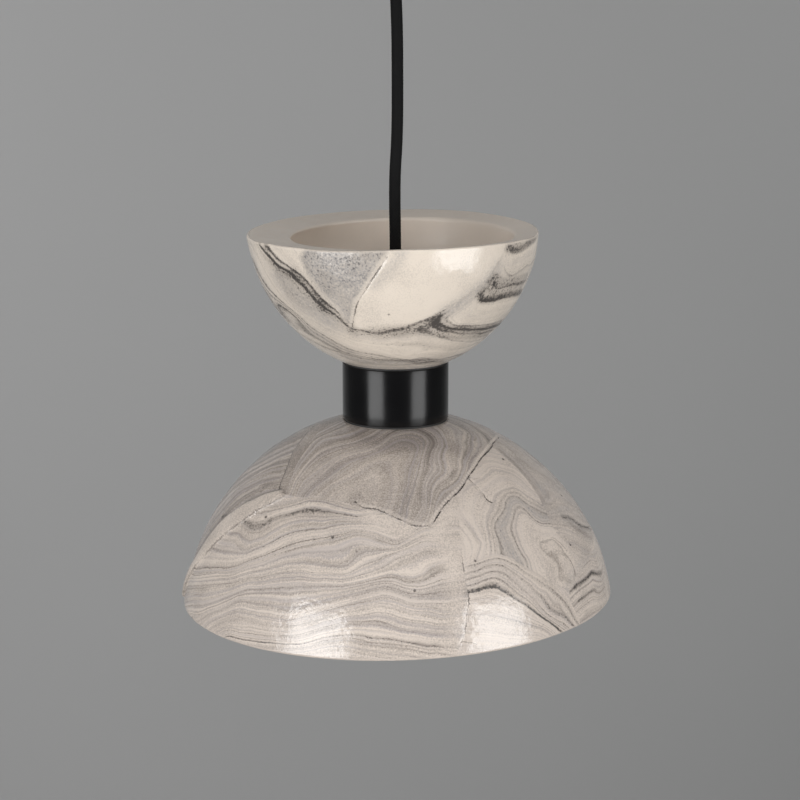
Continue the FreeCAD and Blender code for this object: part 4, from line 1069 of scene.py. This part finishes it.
def ceramic_material(name, bands, dark_clay, pale_clay, plain_glaze, clay_grain, band_grain, shine):
    """Layered clay under a clear glaze. Plain parts have the glaze alone."""
    clay = Finish(name)
    depth, tone = chosen_clay(clay)
    veins = clay.stored("veins")
    plain = clay.stored("plain")
    fine = clay.blotches(1300.0)
    grain = clay.blotches(900.0)
    ripple = clay.blotches(110.0)
    cloud = clay.blotches(45.0, 4.0)
    layer_place = ripple * RIPPLE_SHIFT + (depth - RIPPLE_SHIFT / 2)
    layer_place = fine * GRAIN_SHIFT + (layer_place - GRAIN_SHIFT / 2)

    # Soft shades along the layers, with a cloudy and a fine grain
    wide = clay.blotches(7.0, 2.0, layer_place * 0.07)
    lines, through = strata(clay, layer_place, *LINE_LAYERS)
    hairs, _ = strata(clay, layer_place, *HAIR_LAYERS)
    shade = wide.spread(*BLOTCH_RANGE, -0.34, 0.26) * veins
    step = through.spread(0.0, 1.0, -0.12, 0.06) * veins
    share = tone + (shade + step)
    share = share + cloud.spread(*BLOTCH_RANGE, -0.16, 0.14)
    share = share + fine.spread(*BLOTCH_RANGE, -clay_grain, clay_grain)
    colour = clay.mixed(share, dark_clay, pale_clay)

    # Lilac layers, grey haze and thin brown lines, which keep away from the lilac
    tint = clay.blotches(9.0, 2.0, layer_place * 0.09)
    colour = clay.mixed(tint.spread(0.46, 0.66, 0.0, 0.55) * veins, colour, LILAC_CLAY)
    grouped = veins * tint.spread(0.42, 0.6, 1.2, 0.2)
    haze = clay.stored("haze") * cloud.spread(0.3, 0.65, 0.5, 1.0) * grain.spread(*BLOTCH_RANGE, 1.5, 0.4)
    colour = clay.mixed(haze, colour, GREY_HAZE)
    colour = clay.mixed(hairs * veins * 0.4, colour, BROWN_LINE)
    colour = clay.mixed(lines * grouped * 0.72, colour, BROWN_LINE)

    # Dark bands: brown where they are weak, grainy and nearly black where they are strong
    band = sum(band_ramp(clay, layer_place, start, run) for start, run in bands.items())
    band = band * clay.stored("strong") + clay.stored("speckle")
    band = band * clay.blotches(20.0, 1.0).spread(0.36, 0.6, 0.62, 1.0, smooth=True)
    colour = clay.mixed(band.spread(0.05, 0.85, 0.0, 0.72), colour, BROWN_BAND)
    specks = grain.spread(0.32, 0.68, 0.08, 0.08 + band_grain)
    dark = (band - specks).spread(-0.14, 0.5, smooth=True)
    colour = clay.mixed(dark * 0.95, colour, BLACK_BAND)

    # Cracks with a pale ribbed ridge beside them
    away, openness, ridged = clay.stored_three("crack")
    ribs = calculate(clay.tree, "SINE", clay.stored("run") * (2 * math.pi / RIB_SPACING))
    ridge = away.spread(0.4, 1.0) * away.spread(1.8, 2.8, 1.0, 0.0) * (ridged * ribs.spread(-1, 1, 0.45, 1.0))
    colour = clay.mixed(ridge * 0.8, colour, pale_clay)
    width = fine * 1.1 + calculate(clay.tree, "ABSOLUTE", away)
    broken = clay.blotches(150.0).spread(0.38, 0.55, 0.15, 1.0)
    crack = width.spread(0.6, 1.1, 1.0, 0.0, smooth=True) * openness * broken
    colour = clay.mixed(crack, colour, CRACK_SHADOW)

    # Plain glaze, a painted highlight along the edge of the rim, and pinholes
    dull_glaze = tuple(DULL_GLAZE * c for c in plain_glaze)
    glaze = clay.mixed(cloud.spread(*BLOTCH_RANGE), plain_glaze, dull_glaze)
    colour = clay.mixed(plain, colour, glaze)
    # Painted highlight where the rim's rounding catches the light, mixed towards the pale clay
    colour = clay.mixed(clay.stored("edge") * 0.55, colour, pale_clay)
    pit = small_pits(clay)
    colour = clay.mixed(pit * 0.85, colour, PIT_SHADOW)

    # Gloss and the glaze's uneven surface
    gloss = clay.blotches(140.0, 3.0).spread(0.3, 0.75, 0.10, 0.26)
    gloss = gloss + plain * 0.2 + haze * 0.2 + dark * 0.2
    calm = plain.spread(0.0, 1.0, 1.0, 0.2)
    normal = clay.bumped(ripple * calm, 0.0006, 0.35)
    normal = clay.bumped(ridge * 0.8 + clay.blotches(330.0) * calm, 0.00028, 0.7, normal)
    normal = clay.bumped(pit + crack, -0.0007, 0.9, normal)
    normal = clay.bumped(fine * calm, 0.0001, 0.35, normal)
    clay.set(Base_Color=colour, Roughness=gloss, Specular_IOR_Level=shine, Normal=normal)
    return clay.material


# Ceramic shells

SHELL_SIDES = 720
INNER_SIDES = 180

# Rings of points, counted along the sections of the shells
DOME_SIDE_RINGS = 112
DOME_LIP_RINGS = 9
DOME_INNER_LIP_RINGS = 7
DOME_INSIDE_RINGS = 34
BOWL_SIDE_RINGS = 92
BOWL_EDGE_RINGS = 7
BOWL_LIP_RINGS = 7
BOWL_MOUTH_RINGS = 13
BOWL_CAVITY_RINGS = 40
EDGE_RINGS = 3
# Where the painted highlight along the rounded rim lies, counted in rings
RIM_HIGHLIGHT_MIDDLE = 2
RIM_HIGHLIGHT_WIDTH = 2.5

# The dome's rim starts this many degrees early outside and this high inside. Its inside is even near the top.
DOME_RIM_ANGLE = 0.8
DOME_INSIDE_START = 2.4
DOME_INSIDE_EVEN = 60.0
DOME_INSIDE_FADE = 40.0

# The bowl's floor and lip, and shares of its height and radius between which its brim is uneven
BOWL_FLOOR_RADII = (18.0, 12.0, BOWL_HOLE_RADIUS)
BOWL_LIP_STEP = 2.0
BOWL_BRIM_START = 0.75
BOWL_FRONT_LIMIT = -0.3

# How far the clay is stirred: size of the swirls, how much, and seeds
DOME_STIR = (16.0, 1.0, (1, 2, 3))
BOWL_STIR = (14.0, 0.9, (11, 12, 13))

# Relief: grooves and ridges along cracks as (height, width), and how far from the seat it has faded in
DOME_GROOVE = (0.45, 1.0)
DOME_RIDGE = (0.5, 1.2)
DOME_RIDGE_PLACE = 1.7
DOME_SEAT_MARGIN = 8.0
BOWL_GROOVE = (0.4, 1.1)
BOWL_SEAT_MARGIN = 6.0

# Grey folds at the right of the dome, the fan under its collar, both by their layers, and the bowl's triangle
FOLD_MIDDLE = 218.5
FOLD_WIDTH = 2.6
FOLD_HAZE = 0.75
FAN_FIRST = 90
FAN_CALM = 104
FAN_FADE = 10
FAN_LAST = 150
TRIANGLE_EDGE = 3.5
TRIANGLE_HAZE = 0.82
TRIANGLE_SPECKS = 0.6
PATCH_SHARE = 0.45
PATCH_START = 50
PATCH_FADE = 60

# Uneven surfaces: (how much, size of the waves, seed)
DOME_SWELL = [(0.55, 42.0, 4), (0.22, 15.0, 5)]
DOME_RIM_WAVE = [(0.5, 45.0, 6)]
BOWL_SWELL = [(0.45, 38.0, 14), (0.2, 13.0, 15)]
BOWL_RIM_WAVE = [(0.7, 55.0, 16), (0.2, 14.0, 19)]
BOWL_RIM_WAVE_STRETCH = np.array([1, 1, 0.2])
BOWL_PATCHES = [(0.5, 15.0, 17), (0.4, 6.0, 18)]


def waves(points, rows):
    return sum(amount * waviness(points, size, seed) for amount, size, seed in rows)


def bell(distance, height, width):
    """A smooth hill over a distance."""
    return height * np.exp(-((distance / width) ** 2))


def shell_faces(outer_rings, inner_rings):
    """Quads of a closed shell whose inner rings have a quarter of the points of the outer rings."""
    faces = []
    for ring in range(outer_rings - 1):
        faces += ring_faces(ring * SHELL_SIDES, (ring + 1) * SHELL_SIDES, SHELL_SIDES)
    last = (outer_rings - 1) * SHELL_SIDES
    first_inner = outer_rings * SHELL_SIDES
    last_inner = first_inner + (inner_rings - 1) * INNER_SIDES
    step = SHELL_SIDES // INNER_SIDES
    for i in range(INNER_SIDES):
        following = (i + 1) % INNER_SIDES
        steps = [(i * step + k) % SHELL_SIDES for k in range(step + 1)]
        faces.append(tuple([last + k for k in steps] + [first_inner + following, first_inner + i]))
        faces.append(tuple([last_inner + i, last_inner + following] + steps[::-1]))
    for ring in range(inner_rings - 1):
        start = first_inner + ring * INNER_SIDES
        faces += ring_faces(start, start + INNER_SIDES, INNER_SIDES)
    return faces


def stirred_spots(spots, size, amount, seeds):
    return spots + amount * np.stack([waviness(spots, size, seed) for seed in seeds], axis=1)


def places_of(spots, level):
    """The azimuth of each spot beside its level on the shell."""
    return np.stack([np.degrees(np.arctan2(spots[:, 0], -spots[:, 1])), level], axis=1)


def finish_shell(name, node, points, ring_counts, side_rings, layers, clay, material):
    """Makes a shell. Past its side the outside is plain glaze, with a painted highlight along the edge
    between the two.

    Only the outside has clay, and its points come first.
    """
    shell = add_piece(name, points, shell_faces(*ring_counts))
    rings = np.repeat(np.arange(ring_counts[0]), SHELL_SIDES)
    plain = np.ones(len(points))
    plain[: len(rings)] = rings > side_rings + EDGE_RINGS
    clay["plain"] = plain
    # The edge ring carries a painted highlight along the rim
    clay["edge"] = np.clip(RIM_HIGHLIGHT_WIDTH - np.abs(rings - side_rings - RIM_HIGHLIGHT_MIDDLE), 0, 1)
    clay["run"] = clay["crack"][:, 3]
    clay["crack"] = clay["crack"][:, :3]
    clay.update(zip(LAYER_NAMES, layers))
    for attribute, values in clay.items():
        padded = np.zeros((len(points),) + values.shape[1:])
        padded[: len(values)] = values
        set_numbers(shell, attribute, padded)
    settle(shell, "pendant", material, "marbled_ceramic", node)


def dome_profile():
    """The dome's section, outside and inside, from the seat over the rim to the hole."""
    centre = (0.0, DOME_TOP - DOME_CENTRE_DROP)
    rim = DOME_TOP - DOME_HEIGHT
    inside = DOME_SPHERE_RADIUS - DOME_WALL
    first = math.degrees(math.asin(DOME_SEAT_RADIUS / DOME_SPHERE_RADIUS))
    last = math.degrees(math.asin(DOME_RIM_RADIUS / DOME_SPHERE_RADIUS)) - DOME_RIM_ANGLE
    side = arc(centre, DOME_SPHERE_RADIUS, first, last, DOME_SIDE_RINGS)
    inner_rim = math.sqrt(inside**2 - (rim - centre[1]) ** 2)
    lip_end = (DOME_RIM_RADIUS - DOME_LIP_ROUNDING, rim)
    lip = rounding(side[-1], (DOME_RIM_RADIUS, rim), lip_end, DOME_LIP_RINGS)[1:]
    flat = math.degrees(math.acos((DOME_CENTRE_DROP - DOME_WALL) / inside))
    inner_start = math.degrees(math.acos((rim + DOME_INSIDE_START - centre[1]) / inside))
    inner_side = arc(centre, inside, inner_start, flat, DOME_INSIDE_RINGS)
    lip_start = (inner_rim + DOME_LIP_ROUNDING, rim)
    inner_lip = rounding(lip_start, (inner_rim, rim), inner_side[0], DOME_INNER_LIP_RINGS)[:-1]
    hole = [(DOME_HOLE_RADIUS, DOME_TOP - DOME_WALL), (DOME_HOLE_RADIUS, DOME_TOP)]
    hole.append((DOME_SEAT_RADIUS - SEAT_GAP, DOME_TOP))
    outer = np.concatenate([[(DOME_SEAT_RADIUS, DOME_TOP)], side[1:], lip])
    return outer, np.concatenate([inner_lip, inner_side, hole])


def make_dome(material):
    outer_profile, inner_profile = dome_profile()
    outer, azimuth = turned(outer_profile, SHELL_SIDES)
    inner, _ = turned(inner_profile, INNER_SIDES)
    centre = np.array([0, 0, DOME_TOP - DOME_CENTRE_DROP])
    drop = np.clip(DOME_TOP - outer[:, 2], 0, DOME_HEIGHT + 1)
    spots = spot_on_dome(np.stack([azimuth, drop], axis=1))
    stirred = stirred_spots(spots, *DOME_STIR)
    places = places_of(stirred, DOME_TOP - stirred[:, 2])
    layers, lift, veins = lay_slabs(DOME_SLABS, spot_on_dome, stirred, places)

    # The surface: slabs that stand out, grooves and ridges along cracks, and a lean
    crack = crack_field(DOME_CRACKS, spot_on_dome, stirred, centre)
    away, openness, ridged, _ = crack.T
    relief = lift + waves(spots, DOME_SWELL)
    relief += ridged * bell(away - DOME_RIDGE_PLACE, *DOME_RIDGE) - openness**2 * bell(away, *DOME_GROOVE)
    outward = spots - centre
    outward /= np.linalg.norm(outward, axis=1)[:, None]
    near_seat = np.clip(drop / DOME_SEAT_MARGIN, 0, 1)
    low_inside = np.clip((DOME_TOP - inner[:, 2] - DOME_INSIDE_EVEN) / DOME_INSIDE_FADE, 0, 1)
    inner[:, 2] += waves(inner, DOME_RIM_WAVE) * low_inside
    points = np.concatenate([outer + outward * (relief * near_seat)[:, None], inner])
    lean = np.clip((DOME_TOP - points[:, 2]) / DOME_HEIGHT, 0, 1)
    points[:, 2] += DOME_LEAN * points[:, 0] * lean
    points[:, 0] += DOME_SHIFT * lean

    # The clay: grey in the folds at the right, browner under the collar with brown clay and painted shade,
    # where the fan's middle is calm
    fold = bell(layers[2, :, 0] - FOLD_MIDDLE, FOLD_HAZE, FOLD_WIDTH) * (layers[2, :, 2] > 0)
    layers[1, :, 1] -= stain(DOME_BROWN_STAINS_AND_SHADE, spot_on_dome, stirred)
    depth = layers[1, :, 0]
    fan = (depth > FAN_FIRST) & (depth < FAN_LAST) & (layers[1, :, 2] > 0)
    veins = np.where(fan, veins * np.clip((depth - FAN_CALM) / FAN_FADE, 0.5, 1), veins)
    strong = 1 - np.clip(stain(DOME_FAINT_BANDS, spot_on_dome, stirred), 0, 1)
    clay = {
        "veins": veins * strong,
        "strong": strong,
        "crack": crack,
        "haze": fold + stain(DOME_GREY_STAINS, spot_on_dome, stirred),
        # Dark stains, one of them with painted shadow along the top of the raised lip
        "speckle": stain(DOME_DARK_STAINS_AND_SHADOW, spot_on_dome, stirred),
    }
    ring_counts = (len(outer_profile), len(inner_profile))
    finish_shell("marbled_dome", "dome_shade", points, ring_counts, DOME_SIDE_RINGS, layers, clay, material)


def bowl_profile():
    """The bowl's section, outside and inside, from the foot over the lip to the hole."""
    rim = BOWL_FOOT + BOWL_HEIGHT
    floor = BOWL_FOOT + BOWL_FLOOR
    belly_centre = (BOWL_BELLY_CENTRE[0], BOWL_FOOT + BOWL_BELLY_CENTRE[1])
    cavity_centre = (BOWL_CAVITY_CENTRE[0], BOWL_FOOT + BOWL_CAVITY_CENTRE[1])
    foot = 180 - math.degrees(math.asin((BOWL_FOOT_RADIUS - BOWL_BELLY_CENTRE[0]) / BOWL_BELLY_RADIUS))
    brim_rise = BOWL_HEIGHT - BOWL_LIP_ROUNDING - BOWL_BELLY_CENTRE[1]
    brim = math.degrees(math.acos(brim_rise / BOWL_BELLY_RADIUS))
    side = arc(belly_centre, BOWL_BELLY_RADIUS, foot, brim, BOWL_SIDE_RINGS)
    lip_outer = BOWL_RIM_RADIUS - BOWL_LIP_ROUNDING
    lip_inner = BOWL_RIM_RADIUS - BOWL_LIP_WIDTH
    outer_edge = rounding(side[-1], (BOWL_RIM_RADIUS, rim), (lip_outer, rim), BOWL_EDGE_RINGS)[1:]
    lip = [(lip_outer - k * BOWL_LIP_STEP, rim) for k in range(1, BOWL_LIP_RINGS + 1)]
    high = math.acos((BOWL_HEIGHT - BOWL_MOUTH_ROUNDING - BOWL_CAVITY_CENTRE[1]) / BOWL_CAVITY_RADIUS)
    low = math.acos((BOWL_FLOOR - BOWL_CAVITY_CENTRE[1]) / BOWL_CAVITY_RADIUS)
    cavity = arc(cavity_centre, BOWL_CAVITY_RADIUS, math.degrees(high), math.degrees(low), BOWL_CAVITY_RINGS)
    mouth_start = (lip_inner + BOWL_MOUTH_ROUNDING, rim)
    inner_edge = rounding(mouth_start, (lip_inner, rim), cavity[0], BOWL_MOUTH_RINGS)[:-1]
    bottom = [(radius, floor) for radius in BOWL_FLOOR_RADII]
    bottom += [(BOWL_HOLE_RADIUS, BOWL_FOOT), (BOWL_FOOT_RADIUS - SEAT_GAP, BOWL_FOOT)]
    return np.concatenate([side, outer_edge, lip]), np.concatenate([inner_edge, cavity, bottom])


def tilt_bowl(points):
    """The hand-made brim: wavy, higher at the back and the right, its opening off the middle."""
    rise = np.clip((points[:, 2] - BOWL_FOOT) / BOWL_HEIGHT, 0, 1)
    brim_share = np.clip((rise - BOWL_BRIM_START) / (1 - BOWL_BRIM_START), 0, 1)
    reach = np.hypot(points[:, 0], points[:, 1])
    opening = np.clip((BOWL_RIM_RADIUS - reach) / BOWL_LIP_WIDTH, 0, 1) * brim_share
    lift = waves(points * BOWL_RIM_WAVE_STRETCH, BOWL_RIM_WAVE)
    lift += BOWL_BACK_RISE * np.clip(points[:, 1] / BOWL_RIM_RADIUS, BOWL_FRONT_LIMIT, 1)
    lift += BOWL_RIGHT_RISE * points[:, 0] / BOWL_RIM_RADIUS
    points[:, 2] += lift * brim_share - BOWL_LIP_DROP * opening
    points[:, 0] += BOWL_SHIFT * rise + BOWL_OPENING_SHIFT[0] * opening
    points[:, 1] += BOWL_OPENING_SHIFT[1] * opening


def make_bowl(material):
    outer_profile, inner_profile = bowl_profile()
    outer, azimuth = turned(outer_profile, SHELL_SIDES)
    inner, _ = turned(inner_profile, INNER_SIDES)
    height = np.clip(outer[:, 2] - BOWL_FOOT, 0, BOWL_HEIGHT)
    spots = spot_on_bowl(np.stack([azimuth, height], axis=1))
    stirred = stirred_spots(spots, *BOWL_STIR)
    places = places_of(stirred, stirred[:, 2] - BOWL_FOOT)
    layers, lift, veins = lay_slabs(BOWL_SLABS, spot_on_bowl, stirred, places)

    # The surface: grooves along cracks, and a swell that stops at the seat and the lip
    crack = crack_field(BOWL_CRACKS, spot_on_bowl, stirred, (0, 0, BOWL_FOOT + BOWL_BELLY_CENTRE[1]))
    relief = lift + waves(spots, BOWL_SWELL) - crack[:, 1] * bell(crack[:, 0], *BOWL_GROOVE)
    on_side = np.repeat(np.arange(len(outer_profile)) < BOWL_SIDE_RINGS + EDGE_RINGS, SHELL_SIDES)
    outward = outer * np.array([1, 1, 0])
    outward /= np.linalg.norm(outward, axis=1)[:, None]
    near_seat = np.clip(height / BOWL_SEAT_MARGIN, 0, 1)
    points = np.concatenate([outer + outward * (relief * near_seat * on_side)[:, None], inner])
    tilt_bowl(points)

    # The clay: the triangle, which has no layers, is grey and speckled in patches
    in_triangle = np.clip(layers[1, :, 2] / TRIANGLE_EDGE, 0, 1) * (layers[1, :, 0] < NO_LAYERS / 2)
    patches = PATCH_SHARE + waves(spots, BOWL_PATCHES)
    patches += np.clip((height - PATCH_START) / PATCH_FADE, 0, 1)
    triangle_specks = TRIANGLE_SPECKS * in_triangle * np.clip(patches, 0.15, 1)
    clay = {
        "veins": veins,
        "strong": 1 - np.clip(stain(BOWL_FAINT_BANDS, spot_on_bowl, stirred), 0, 1),
        "crack": crack,
        "haze": TRIANGLE_HAZE * in_triangle + stain(BOWL_GREY_STAINS, spot_on_bowl, stirred),
        "speckle": triangle_specks + stain(BOWL_DARK_STAINS, spot_on_bowl, stirred),
    }
    ring_counts = (len(outer_profile), len(inner_profile))
    finish_shell("marbled_bowl", "upper_bowl", points, ring_counts, BOWL_SIDE_RINGS, layers, clay, material)


# Plain finishes of the small parts

# First and second colour, mottles per metre, range of roughness, and for some: metallic, height of the bump
SPECKLED_FINISHES = {
    "black_plastic": ((0.012, 0.012, 0.012), (0.02, 0.02, 0.02), 900.0, (0.4, 0.55)),
    "zinc_steel": ((0.55, 0.56, 0.58), (0.42, 0.43, 0.45), 320.0, (0.25, 0.42), 1.0),
    "brass": ((0.72, 0.52, 0.24), (0.56, 0.38, 0.16), 420.0, (0.2, 0.36), 1.0),
    "nickel": ((0.62, 0.60, 0.56), (0.52, 0.50, 0.46), 380.0, (0.18, 0.3), 1.0),
    "plated_aluminium": ((0.64, 0.62, 0.59), (0.55, 0.53, 0.50), 380.0, (0.2, 0.32), 1.0),
    "white_nylon": ((0.78, 0.77, 0.73), (0.70, 0.69, 0.65), 600.0, (0.4, 0.55)),
    "porcelain": ((0.80, 0.78, 0.72), (0.72, 0.70, 0.64), 260.0, (0.15, 0.3)),
    "grey_silicone": ((0.03, 0.03, 0.03), (0.02, 0.02, 0.02), 700.0, (0.55, 0.7)),
    "grey_felt": ((0.20, 0.20, 0.20), (0.09, 0.09, 0.09), 1500.0, (0.85, 1.0), 0.0, 0.0005),
    "brown_insulation": ((0.16, 0.06, 0.025), (0.12, 0.045, 0.02), 500.0, (0.35, 0.5)),
    "blue_insulation": ((0.03, 0.12, 0.42), (0.025, 0.09, 0.33), 500.0, (0.35, 0.5)),
    "green_yellow_insulation": ((0.05, 0.28, 0.05), (0.62, 0.55, 0.04), 160.0, (0.35, 0.5)),
    "black_glass": ((0.01, 0.01, 0.012), (0.02, 0.02, 0.022), 200.0, (0.08, 0.15)),
    "white_plastic": ((0.80, 0.80, 0.79), (0.74, 0.74, 0.73), 700.0, (0.35, 0.5)),
    "opal_plastic": ((0.86, 0.85, 0.82), (0.82, 0.81, 0.78), 90.0, (0.25, 0.35)),
}


def speckled(name, first, second, scale, rough, metallic=0.0, bump=0.00004):
    """A plain finish with a fine mottle in its colour, gloss and surface."""
    finish = Finish(name)
    mottle = finish.blotches(scale, 4.0)
    finish.set(
        Base_Color=finish.mixed(mottle.spread(*BLOTCH_RANGE), first, second),
        Roughness=mottle.spread(*BLOTCH_RANGE, *rough),
        Metallic=metallic,
        Normal=finish.bumped(mottle, bump, 0.5),
    )
    return finish.material


def satin_black_metal():
    """Powder coat: black, satin, with a very fine even orange peel."""
    coat = Finish("satin_black_metal")
    cloud = coat.blotches(35.0, 3.0)
    coat.set(
        Base_Color=coat.mixed(cloud, (0.0025, 0.0025, 0.003), (0.005, 0.005, 0.0055)),
        Roughness=cloud.spread(*BLOTCH_RANGE, 0.19, 0.25),
        Specular_IOR_Level=0.34,
        Normal=coat.bumped(coat.blotches(1700.0), 0.00006, 0.3),
    )
    return coat.material


def finishes(textile, ceramic):
    """A material for each of the record's material slots."""
    made = {name: speckled(name, *values) for name, values in SPECKLED_FINISHES.items()}
    made["marbled_ceramic"] = ceramic
    made["black_textile"] = textile
    made["satin_black_metal"] = satin_black_metal()
    return made


# Collar and bulb contact: sections as (radius, height), the collar's above its foot

COLLAR_SIDES = 256
COLLAR_FOOT = -290.0
COLLAR_SECTION = [
    (28.0, 0.0), (29.4, 0.0), (29.82, 0.12), (30.0, 0.5), (30.0, 8.0), (30.0, 16.0), (30.0, 24.0),
    (30.0, 31.5), (29.82, 31.88), (29.4, 32.0), (6.0, 32.0), (6.0, 30.0), (28.0, 30.0),
]
CONTACT_SIDES = 48
CONTACT_SECTION = [
    (4.5, -297.45), (4.8, -297.3), (4.4, -296.85), (3.5, -296.4), (2.4, -296.12), (1.2, -296.0),
]


def make_collar(material):
    """A short tube whose edges are a little rounded."""
    points, _ = turned([(r, COLLAR_FOOT + h) for r, h in COLLAR_SECTION], COLLAR_SIDES)
    rings = len(COLLAR_SECTION)
    faces = []
    for ring in range(rings):
        faces += ring_faces(ring * COLLAR_SIDES, (ring + 1) % rings * COLLAR_SIDES, COLLAR_SIDES)
    collar = add_piece("black_collar", points, faces)
    settle(collar, "pendant", material, "satin_black_metal", "collar")


def make_bulb_contact(material):
    """The solder button at the end of the bulb, a hair clear of the insulator that turns below it."""
    points, _ = turned(CONTACT_SECTION, CONTACT_SIDES)
    faces = tube_faces(len(CONTACT_SECTION), CONTACT_SIDES)
    contact = add_piece("solder_contact", points, faces)
    settle(contact, "bulb_tip", material, "nickel", "bulb_contact")


def dress_solids(materials):
    """Gives each solid that still shows the material of its slot."""
    slots = {part["node"]: part["material_slot"] for part in frame["record"]["subparts"]}
    for node, solid in frame["nodes"].items():
        solid.data.materials.clear()
        solid.data.materials.append(materials[slots[node]])


make_camera()
textile = textile_material()
make_cord(textile)
light_the_scene()
make_stage()
dome_ceramic = ceramic_material(
    "marbled_ceramic_dome",
    DOME_BANDS,
    dark_clay=(0.29, 0.25, 0.222),
    pale_clay=(0.77, 0.675, 0.595),
    plain_glaze=(0.60, 0.53, 0.465),
    clay_grain=0.31,
    band_grain=0.85,
    shine=0.86,
)
bowl_ceramic = ceramic_material(
    "marbled_ceramic_bowl",
    BOWL_BANDS,
    dark_clay=(0.29, 0.26, 0.235),
    pale_clay=(0.885, 0.786, 0.676),
    plain_glaze=(0.88, 0.785, 0.69),
    clay_grain=0.14,
    band_grain=0.95,
    shine=0.66,
)
materials = finishes(textile, dome_ceramic)
dress_solids(materials)
make_dome(dome_ceramic)
make_bowl(bowl_ceramic)
make_collar(materials["satin_black_metal"])
make_bulb_contact(materials["nickel"])
